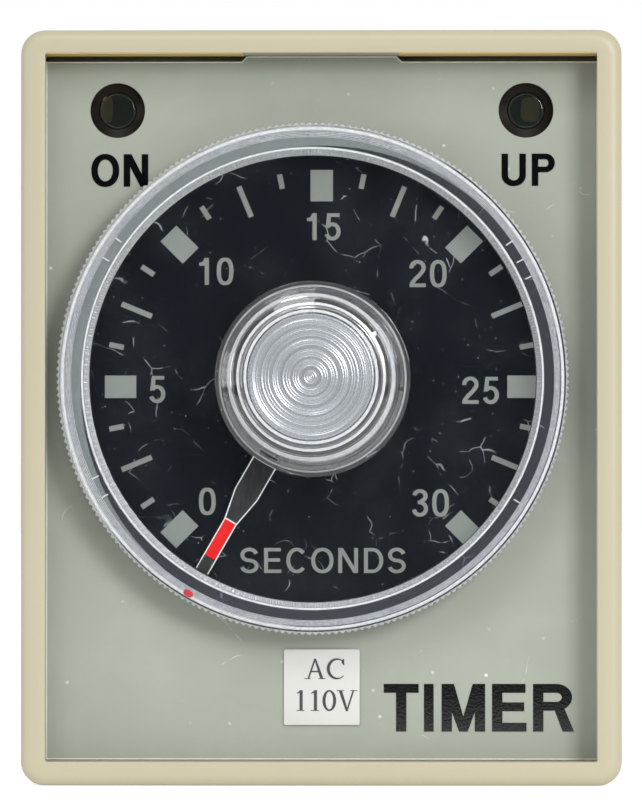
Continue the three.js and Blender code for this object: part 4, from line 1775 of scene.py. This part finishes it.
@dataclass
class Knob:
    """The clear knob: knurled rim, sunk flat disc, turned grip, pointer groove and paint.

    Attributes:
        radius: Outer radius over the knurl.
        teeth: Number of knurl teeth.
        tooth: Height of a tooth.
        disc: Depth of the disc's front and of its back.
        pointer: Angle of the pointer in degrees, clockwise from the top.
        segments: Segments round the axis; a multiple of the teeth.
        ridge: Pitch and height of the turned grooves on the grip's end.
        end: Radius and depth of the grip's turned end.
        marks: Angles of the mould's marks on the rim, clockwise from the top.
    """

    layout: Layout
    radius: float = 17.1
    teeth: int = 240
    tooth: float = 0.19
    disc: Point2 = (1.05, 2.55)
    pointer: float = -150.0
    segments: int = 1200
    ridge: Point2 = (0.17, 0.028)
    end: Point2 = (4.16, -5.99)
    marks: tuple[float, ...] = (-119.5, -114.5, -60.0, -54.5, 55.5, 60.5, 65.0, 121.0)

    def build(self) -> list[Piece]:
        """Builds the knob and its paint; all of it turns with the knob.

        Returns:
            The pieces of the knob.
        """
        centre = self.layout.centre("pot_shaft")
        solid = turned(self._profile(), centre, self.segments, wave=self._knurl)
        knob = solid.build("knob_moulding", self.layout, CLEAR_STYRENE, 20)
        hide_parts("knob")
        groove = self._along(self._groove(0.0), centre)
        front = self.disc[1] - 0.45
        tool = slab([groove], [], front, self.disc[1] + 0.2)
        carve(knob, [tool.build("groove_tool", self.layout, CLEAR_STYRENE)], Carving.CUT, 20)
        pieces = [knob, *self._bands(centre), self._mould_marks(centre)]
        pieces += [self._paint(centre), self._rim_paint(centre)]
        pieces += [self._groove_walls(centre), self._pointer_floor(centre), self._end_face(centre)]
        for piece in pieces:
            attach(piece, "knob")
        return pieces

    def _knurl(self, radius: float, depth: float, angle: float) -> float:
        """The radius to take off between the teeth; nothing is taken off inside them.

        Args:
            radius: Radius of the point.
            depth: Its depth.
            angle: Its angle round the axis.

        Returns:
            What to add to the radius.
        """
        share = max((radius - self.radius + self.tooth) / self.tooth, 0.0)
        turn = (angle * self.teeth / (2 * math.pi)) % 1.0
        return -self.tooth * share * abs(2 * turn - 1)

    def _beads(self, radius: float, depth: float, angle: float) -> float:
        """The small swing in radius that beads the matted cone."""
        return 0.05 * math.cos(2 * self.teeth * angle) if 14.99 < radius < 15.24 else 0.0

    def _profile(self) -> Outline:
        """The knob's section, from the bottom of its bore out round the rim to the grip's end.

        Returns:
            Radii and depths.
        """
        front, back = self.disc
        r = self.radius
        line = [
            (0, -3.95), (3.12, -3.95), (3.12, 0), (3.9, 0), (3.9, 0.6), (5.2, 0.6),
            (5.2, back), (15.0, back, 0.03), (15.15, 2.85, 0.05), (16.7, 2.85, 0.1),
            (r, 2.6, 0.1), (r, 0.5, 0.1), (16.84, 0.08, 0.1), (16.6, -0.1, 0.1), (15.4, -0.1, 0.04),
            (14.9, front, 0.06), (6.5, front, 0.12), (6.1, 0.75, 0.12), (5.85, 0.1, 0.1),
            (5.74, -1.2), (5.66, -2.6), (5.56, -4.4, 0.2), (5.28, -4.95, 0.1),
            (5.2, -5.35, 0.08), (4.94, -5.45, 0.05), (4.72, -5.52, 0.05), (4.64, -5.8, 0.05),
            (4.44, -5.97, 0.04), (4.24, -5.97, 0.03), (4.18, -5.82), (0, -5.82),
        ]
        return fillet(line)

    def _turned_end(self) -> Outline:
        """Fine turned grooves across the end of the grip, from its edge to its middle.

        Returns:
            Radii and depths.
        """
        pitch, height = self.ridge
        made: Outline = []
        edge, depth = self.end
        steps = int(edge / (pitch / 6))
        for i in range(steps):
            radius = edge * (1 - i / steps)
            wander = 0.3 * pitch * math.sin(5.1 * radius)
            wave = 0.5 - 0.5 * math.cos(2 * math.pi * (radius + wander) / pitch)
            share = 0.6 + 0.4 * math.sin(13.7 * radius) * math.cos(4.9 * radius)
            made.append((radius, depth + height * wave * share))
        return [*made, (0, depth)]

    def _groove(self, grow: float) -> Outline:
        """The pointer groove's outline along +z from the axis, grown by a margin.

        Args:
            grow: The margin.

        Returns:
            The outline.
        """
        half = [
            (0.8 + grow, 6.1), (0.8 + grow, 8.9), (0.4 + grow, 11.0), (0.4 + grow, 14.82 + grow),
        ]
        return half + [(-x, z) for x, z in reversed(half)]

    def _along(self, outline: Outline, centre: Point2) -> Outline:
        """Turns an outline drawn upwards to the pointer's angle, about the knob's axis."""
        return turned_outline(outline, centre, self.pointer)

    def _bands(self, centre: Point2) -> list[Piece]:
        """Bands inside the rim, on its land and round the grip: matted plastic, and streaked bands
        whitened as painted highlights.

        Args:
            centre: Axis of the knob, in x and z.

        Returns:
            The bands.
        """
        front = self.disc[0]
        cone = [(14.93, front - 0.2), (15.0, 0.6), (15.03, 0.5), (15.2, 0.0), (15.22, -0.09)]
        wide = [(16.08 + 0.05 * i, -0.12 + 0.05 * (i % 2)) for i in range(9)]
        land = [(16.54, -0.12), (16.62, -0.12), (16.74, -0.02)]
        crest = [(16.86, 0.05), (17.0, 0.27), (17.1, 0.48)]
        lines = {
            "knob_matted_cone": (cone, MATTED_STYRENE, self._beads),
            # The streaked bands below are partly painted highlights: bright lines of the clear edges and
            # rings.
            "knob_cone_edge": ([(15.26, -0.12), (15.38, -0.12)], STREAKED_HIGHLIGHT_STYRENE, None),
            "knob_channel_haze": ([(15.42, -0.11), (16.04, -0.11)], HAZED_STYRENE, None),
            "knob_land_inner": (wide, STREAKED_HIGHLIGHT_STYRENE, None),
            "knob_land_outer": (land, STREAKED_HIGHLIGHT_STYRENE, None),
            # Painted highlight: the knurl's crests in white.
            "knob_knurl_crests": (crest, CREST_HIGHLIGHT_STYRENE, self._knurl),
            "knob_edge_ring": ([(4.25, -5.985), (4.43, -5.985)], STREAKED_HIGHLIGHT_STYRENE, None),
            "knob_mid_ring": ([(4.74, -5.535), (4.92, -5.475)], STREAKED_HIGHLIGHT_STYRENE, None),
            "knob_step_ring": ([(5.33, -4.9), (5.53, -4.5)], STREAKED_HIGHLIGHT_STYRENE, None),
            "knob_foot_ring": ([(6.14, 0.76), (6.26, 0.9)], STREAKED_HIGHLIGHT_STYRENE, None),
        }
        made = []
        for name, (line, finish, wave) in lines.items():
            under = [(radius - 0.01, depth + 0.035) for radius, depth in reversed(line)]
            ring = turned([*line, *under], centre, self.segments, True, wave)
            made.append(ring.build(name, self.layout, finish))
        return made

    def _mould_marks(self, centre: Point2) -> Piece:
        """Short radial marks left by the mould on the rim.

        Args:
            centre: Axis of the knob, in x and z.

        Returns:
            The marks as one piece.
        """
        solid = Solid()
        for degrees in self.marks:
            strip = turned_outline(bar(-0.04, 15.6, 0.04, 16.1), centre, degrees)
            solid.add(slab([strip], [], -0.125, -0.09))
        return solid.build("knob_mould_marks", self.layout, STREAKED_HIGHLIGHT_STYRENE)

    def _end_face(self, centre: Point2) -> Piece:
        """The matted end of the grip with its turned grooves.

        Args:
            centre: Axis of the knob, in x and z.

        Returns:
            The end face.
        """
        edge, depth = self.end
        profile = [(0, depth + 0.15), (edge, depth + 0.15), *self._turned_end()]
        return turned(profile, centre, 180).build("knob_turned_end", self.layout, TURNED_STYRENE)

    def _groove_walls(self, centre: Point2) -> Piece:
        """The walls of the pointer groove, white and glowing as a painted highlight.

        Args:
            centre: Axis of the knob, in x and z.

        Returns:
            The walls as one piece.
        """
        outer = self._along(self._groove(0.07), centre)
        inner = self._along(self._groove(-0.01), centre)
        end = self._along(bar(-2, 14.8, 2, 16), centre)
        start = self._along(bar(-2, 5, 2, 6.3), centre)
        back = self.disc[1]
        solid = slab([outer], [inner, end, start], back - 0.42, back + 0.03)
        for foot, head, half in ((6.3, 6.38, 0.78), (10.9, 11.0, 0.4)):
            cross = self._along(bar(-half, foot, half, head), centre)
            solid.add(slab([cross], [], back - 0.5, back - 0.3))
        # Painted highlight: the groove's walls in glowing white.
        return solid.build("pointer_walls", self.layout, POINTER_WALL_HIGHLIGHT)

    def _pointer_floor(self, centre: Point2) -> Piece:
        """The streaked floor of the groove, and its end between the paint and the rim.

        Args:
            centre: Axis of the knob, in x and z.

        Returns:
            The floor as one piece.
        """
        back = self.disc[1]
        neck = [(0.76, 6.4), (0.76, 8.9), (0.38, 10.9), (-0.38, 10.9), (-0.76, 8.9), (-0.76, 6.4)]
        outlines = [self._along(neck, centre), self._along(bar(-0.4, 13.8, 0.4, 14.88), centre)]
        solid = slab(outlines, [], back - 0.47, back - 0.44)
        return solid.build("pointer_floor", self.layout, FROSTED_STYRENE)

    def _paint(self, centre: Point2) -> Piece:
        """Red enamel in the narrow end of the groove.

        Args:
            centre: Axis of the knob, in x and z.

        Returns:
            The paint.
        """
        outline = self._along(
            [(0.39, 11.0), (0.39, 13.6), (0.3, 13.75), (-0.3, 13.75), (-0.39, 13.6), (-0.39, 11.0)],
            centre,
        )
        back = self.disc[1]
        solid = slab([outline], [], back - 0.43, back - 0.1)
        # The enamel's glow is painted light.
        return solid.build("pointer_paint", self.layout, POINTER_ENAMEL)

    def _rim_paint(self, centre: Point2) -> Piece:
        """A dab of the same enamel on the rim, over the pointer.

        Args:
            centre: Axis of the knob, in x and z.

        Returns:
            The dab.
        """
        shape = [(x, 16.5 + z) for x, z in ring_of((0, 0), (0.34, 0.22), 2.6, 24)]
        solid = slab([self._along(shape, centre)], [], -0.14, -0.05)
        return solid.build("rim_paint", self.layout, WORN_ENAMEL)


# ---------------------------------------------------------------- the octal base


@dataclass
class OctalBase:
    """The black plug base: flange, boss round the pins, keyed spigot, pins and screws.

    Attributes:
        width: Width of the flange.
        height: Height of the flange.
        front: Depth of the flange's front.
        seat: Depth of the face that meets the socket.
        tip: Depth of the spigot's end.
        spigot: Radius of the spigot.
        circle: Diameter of the pins' circle.
        figure: Width and height of a pin number, and how far outside the circle it stands.
        pin: Radius of a pin.
        screw_z: Height of the screws above and below the middle.
    """

    layout: Layout
    width: float = 38.6
    height: float = 48.9
    front: float = 53.0
    seat: float = 58.0
    tip: float = 72.0
    spigot: float = 3.95
    circle: float = 17.45
    figure: Point3 = (1.0, 1.6, 3.2)
    pin: float = 1.18
    screw_z: float = 20.4

    def build(self) -> list[Piece]:
        """Builds the base, its pins and its screws.

        Returns:
            The pieces of the base.
        """
        loops = [
            (rounded_rectangle(self.width - 0.6, self.height - 0.6, 1.1), self.front),
            (rounded_rectangle(self.width - 0.1, self.height - 0.1, 1.35), self.front + 0.12),
            (rounded_rectangle(self.width, self.height, 1.4), self.front + 0.35),
            (rounded_rectangle(self.width, self.height, 1.4), self.seat - 0.45),
            (rounded_rectangle(self.width - 0.12, self.height - 0.12, 1.34), self.seat - 0.16),
            (rounded_rectangle(self.width - 0.5, self.height - 0.5, 1.15), self.seat),
        ]
        base = lofted(loops, closed=False).build("octal_moulding", self.layout, PHENOLIC)
        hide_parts("octal_base")
        step = slab([rounded_rectangle(34.6, 33, 1.0)], [], self.front - 1.7, self.front + 0.5)
        joins = [step.build("step", self.layout, PHENOLIC), *self._spigot()]
        carve(base, joins, Carving.JOIN, 28)
        carve(base, self._holes(), Carving.CUT, 28)
        return [base, self._figures(), *self._pins(), *self._screws()]

    def _spigot(self) -> list[Piece]:
        """The spigot with a rounded end, and its key.

        Returns:
            The spigot and the key, to join to the flange.
        """
        r, seat, tip = self.spigot, self.seat, self.tip
        line = [(0, seat - 1), (r, seat - 1), (r, tip - 1.5, 0.6), (r - 1, tip, 0.5), (0, tip)]
        profile = fillet(line, 6)
        key = rounded_rectangle(2.0, 2.0, 0.3)
        moved = [(x, z - r) for x, z in key]
        loops = [(moved, seat - 0.5), (moved, tip - 2.0)]
        shrunk = [(x * 0.7, (z + r) * 0.7 - r) for x, z in moved]
        loops.append((shrunk, tip - 1.5))
        return [
            turned(profile, (0, 0), 96).build("spigot", self.layout, PHENOLIC),
            lofted(loops, closed=False).build("key", self.layout, PHENOLIC),
        ]

    def _places(self) -> list[Point2]:
        """The middle of each pin, from pin 1 beside the key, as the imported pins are."""
        return [self.layout.centre(f"pin_{i + 1}") for i in range(8)]

    def _holes(self) -> list[Piece]:
        """Tools for the pin holes and the counterbored screw holes.

        Returns:
            The cutting tools.
        """
        tools = []
        r, end = self.pin + 0.12, self.seat + 0.2
        profile = [(0, 48), (r, 48), (r, self.seat - 0.25), (r + 0.35, end), (0, end)]
        for i, place in enumerate(self._places()):
            tools.append(turned(profile, place, 40).build(f"hole_{i}", self.layout, PHENOLIC))
        for sign in (-1, 1):
            profile = [(0, 50), (1.7, 50), (1.7, 55.8), (3.1, 55.8), (3.1, 59), (0, 59)]
            tool = turned(profile, (0, sign * self.screw_z), 56)
            tools.append(tool.build(f"bore_{sign}", self.layout, PHENOLIC))
        return tools

    def _figures(self) -> Piece:
        """Raised pin numbers outside the pin circle, read from behind.

        Returns:
            The numbers as one piece.
        """
        pen = Lettering(stem=0.16, thin=0.14)
        solid = Solid()
        width, height, outside = self.figure
        reach = (self.circle / 2 + outside) / (self.circle / 2)
        span = (-width / 2, width / 2)
        for i, (x, z) in enumerate(self._places()):
            spot = (x * reach, z * reach - height / 2)
            drawn = pen.line(
                str(i + 1), [span], 0.0, height, self.seat - 0.05, self.seat + 0.12
            )
            drawn.points = [(spot[0] - px, pd, spot[1] + pz) for px, pd, pz in drawn.points]
            solid.add(drawn)
        return solid.build("pin_numbers", self.layout, PHENOLIC)

    def _pins(self) -> list[Piece]:
        """Nickel plated pins with round noses.

        Returns:
            The eight pins.
        """
        pieces = []
        for i, place in enumerate(self._places()):
            near, far = self.layout.span(f"pin_{i + 1}")
            foot, nose, r = near[1], far[1], self.pin
            profile = fillet(
                [
                    (0, foot), (r, foot, 0.1), (r, nose - 1.0, 0.8),
                    (r * 0.72, nose - 0.25, 0.5), (0, nose),
                ],
                6,
            )
            pin = turned(profile, place, 48).build(f"contact_pin_{i + 1}", self.layout, NICKEL)
            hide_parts(f"pin_{i + 1}")
            pieces.append(pin)
        return pieces

    def _screws(self) -> list[Piece]:
        """Slotted pan head screws.

        Returns:
            The two screws.
        """
        pieces = []
        for name in ("base_screw_top", "base_screw_bottom"):
            near, far = self.layout.span(name)
            place = self.layout.centre(name)
            end = far[1]
            profile = fillet(
                [
                    (0, near[1]), (1.0, near[1], 0.1), (1.4, near[1] + 1), (1.4, end - 1.7),
                    (2.7, end - 1.7, 0.1), (2.7, end - 0.7, 0.5), (1.9, end - 0.05, 0.9), (0, end),
                ],
                6,
            )
            screw = turned(profile, place, 64).build(f"{name}_turned", self.layout, ZINC)
            slot = slab([rounded_rectangle(0.8, 7.0, 0.05, place[1])], [], end - 0.9, end + 0.5)
            carve(screw, [slot.build("slot", self.layout, ZINC)], Carving.CUT, 28)
            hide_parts(name)
            pieces.append(screw)
        return pieces


# ---------------------------------------------------------------- inside


@dataclass
class Internals:
    """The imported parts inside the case, which keep their shape and get their finish.

    Attributes:
        nodes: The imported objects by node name.
        finishes: The finish of each node.
    """

    nodes: dict[str, Piece]
    finishes: dict[str, Finish] = field(default_factory=lambda: INNER_FINISHES)

    def build(self) -> list[Piece]:
        """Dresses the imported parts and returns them.

        Returns:
            The dressed pieces.
        """
        pieces = []
        for name, finish in self.finishes.items():
            piece = self.nodes[name]
            piece.data.materials.clear()
            piece.data.materials.append(finish.material())
            pieces.append(piece)
        return pieces


# ---------------------------------------------------------------- studio


@dataclass
class Studio:
    """A pale table, soft lights and the camera.

    Attributes:
        surround: Brightness of the white room.
        eye: Where the camera is, as a point of the front.
        target: What it looks at.
        lens: Focal length in millimetres, on a 36 mm long side.
        reach: How far the table goes to each side.
        card: Depth of the black card, and half its width.
        mat_edge: Depth of the near edge of the black mat that lies before the card.
        softboxes: Name, place, side in millimetres and power in watts of each soft light.
    """

    layout: Layout
    surround: float = 1.0
    eye: Point3 = (7.4, -487.0, -7.0)
    target: Point3 = (0.0, 0.0, 0.13)
    lens: float = 325.3
    reach: float = 6000.0
    card: Point2 = (-1230.0, 360.0)
    mat_edge: float = -130.0
    softboxes: tuple[tuple[str, Point3, float, float], ...] = (
        ("key", (270.0, -520.0, 170.0), 190.0, 2.45),
        ("fill", (-60.0, -260.0, 250.0), 130.0, 0.35),
        ("side", (-520.0, -300.0, 20.0), 300.0, 0.5),
    )

    def build(self) -> None:
        """Builds the table, the dark card, the lights and the camera."""
        self._room()
        self._table()
        self._card()
        for name, place, size, power in self.softboxes:
            self._softbox(name, place, size, power)
        self._camera()

    def _room(self) -> None:
        """White light from all round."""
        world = bpy.data.worlds.new("white_room")
        world.use_nodes = True
        tree = world.node_tree
        tree.nodes.clear()
        light = add_node(
            tree, "Background", {"Color": linear("#ffffff"), "Strength": self.surround}
        )
        add_node(tree, "OutputWorld", {"Surface": light.outputs["Background"]})
        bpy.context.scene.world = world
        bpy.context.scene.view_settings.view_transform = "Standard"

    def _stage_material(self, name: str, colour: str, shade: str, glow: float) -> bpy.types.Material:
        """A plain stage material that may glow a little.

        Args:
            name: Its name.
            colour: Main colour.
            shade: The colour that mottles it.
            glow: Strength of its own light.

        Returns:
            The material.
        """
        material = bpy.data.materials.new(name)
        material.use_nodes = True
        tree = material.node_tree
        tree.nodes.clear()
        noise = add_node(tree, "TexNoise", {"Scale": 12.0})
        mixed = add_node(
            tree,
            "Mix",
            {0: noise.outputs["Fac"], 6: linear(colour), 7: linear(shade)},
            data_type="RGBA",
        )
        shader = add_node(
            tree,
            "BsdfPrincipled",
            {
                "Base Color": mixed.outputs[2],
                "Roughness": 0.9,
                "Emission Color": mixed.outputs[2],
                "Emission Strength": glow,
            },
        )
        add_node(tree, "OutputMaterial", {"Surface": shader.outputs["BSDF"]})
        return material

    def _panel(self, name: str, corners: list[Point3], material: bpy.types.Material) -> None:
        """A flat stage panel through four points of the front.

        Args:
            name: Its name.
            corners: Its four corners.
            material: Its material.
        """
        mesh = bpy.data.meshes.new(name)
        mesh.from_pydata([self.layout.to_row(p) for p in corners], [], [(0, 1, 2, 3)])
        mesh.materials.append(material)
        panel = bpy.data.objects.new(name, mesh)
        bpy.context.scene.collection.objects.link(panel)

    def _table(self) -> None:
        """A white table under the object, which glows so that it keeps no shadow."""
        foot = -self.layout.middle
        corners = [(x, depth, foot) for x, depth in bar(-self.reach, -self.reach, self.reach, self.reach)]
        glowing = self._stage_material("light_table", "#d2d2d1", "#cfcfce", 0.9)
        self._panel("table", corners, glowing)

    def _card(self) -> None:
        """A black card behind the camera and a mat before it.

        They keep the clear knob and the glossy ink from mirroring the white room.
        """
        far, half = self.card
        foot = 1.0 - self.layout.middle
        corners = [(-half, far, foot), (half, far, foot), (half, far, half), (-half, far, half)]
        black = self._stage_material("black_card", "#0b0b0c", "#101011", 0.0)
        self._panel("card", corners, black)
        mat = [(x, depth, foot) for x, depth in bar(-half, far, half, self.mat_edge)]
        self._panel("mat", mat, black)

    def _softbox(self, name: str, place: Point3, size: float, power: float) -> None:
        """A square soft light that faces the front of the object.

        Args:
            name: Its name.
            place: Where it is, as a point of the front.
            size: Side of the square, in millimetres.
            power: Power in watts.
        """
        data = bpy.data.lights.new(name, "AREA")
        data.shape = "SQUARE"
        data.size = size * MM
        data.energy = power
        light = bpy.data.objects.new(name, data)
        light.location = self.layout.to_row(place)
        aim = Vector(self.layout.to_row((0.0, 0.0, 0.0))) - light.location
        light.rotation_euler = aim.to_track_quat("-Z", "Y").to_euler()
        bpy.context.scene.collection.objects.link(light)

    def _camera(self) -> None:
        """The camera, straight ahead and a little low."""
        data = bpy.data.cameras.new("camera")
        data.lens = self.lens
        data.sensor_width = 36.0
        data.sensor_fit = "AUTO"
        data.clip_start = 0.01
        data.clip_end = 50.0
        camera = bpy.data.objects.new("camera", data)
        camera.location = self.layout.to_row(self.eye)
        aim = Vector(self.layout.to_row(self.target)) - camera.location
        camera.rotation_euler = aim.to_track_quat("-Z", "Y").to_euler()
        bpy.context.scene.collection.objects.link(camera)
        bpy.context.scene.camera = camera


# ---------------------------------------------------------------- assembly


def report(group: str, pieces: Sequence[Piece]) -> None:
    """Puts the pieces that ride on nothing yet on the housing, and logs the group.

    Args:
        group: What the pieces make up.
        pieces: The pieces.
    """
    for piece in pieces:
        if body_of(piece) is None:
            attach(piece, "housing")
    log.info("%s: %d pieces", group, len(pieces))


def main() -> None:
    """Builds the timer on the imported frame."""
    logging.basicConfig(level=logging.INFO, format="%(message)s")
    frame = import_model()
    layout = Layout.read()
    report("case", CaseMoulding(layout).build())
    report("front", FrontPanel(layout).build())
    report("on lamp", Lamp(layout, "on_lamp", (-0.72, 0.1, 0.72, 1.7)).build())
    report("up lamp", Lamp(layout, "up_lamp", (0.28, 0.08, 1.25, 1.65)).build())
    report("knob", Knob(layout).build())
    report("octal base", OctalBase(layout).build())
    report("inside", Internals(frame["nodes"]).build())
    Studio(layout).build()


if __name__ == "__main__":
    main()
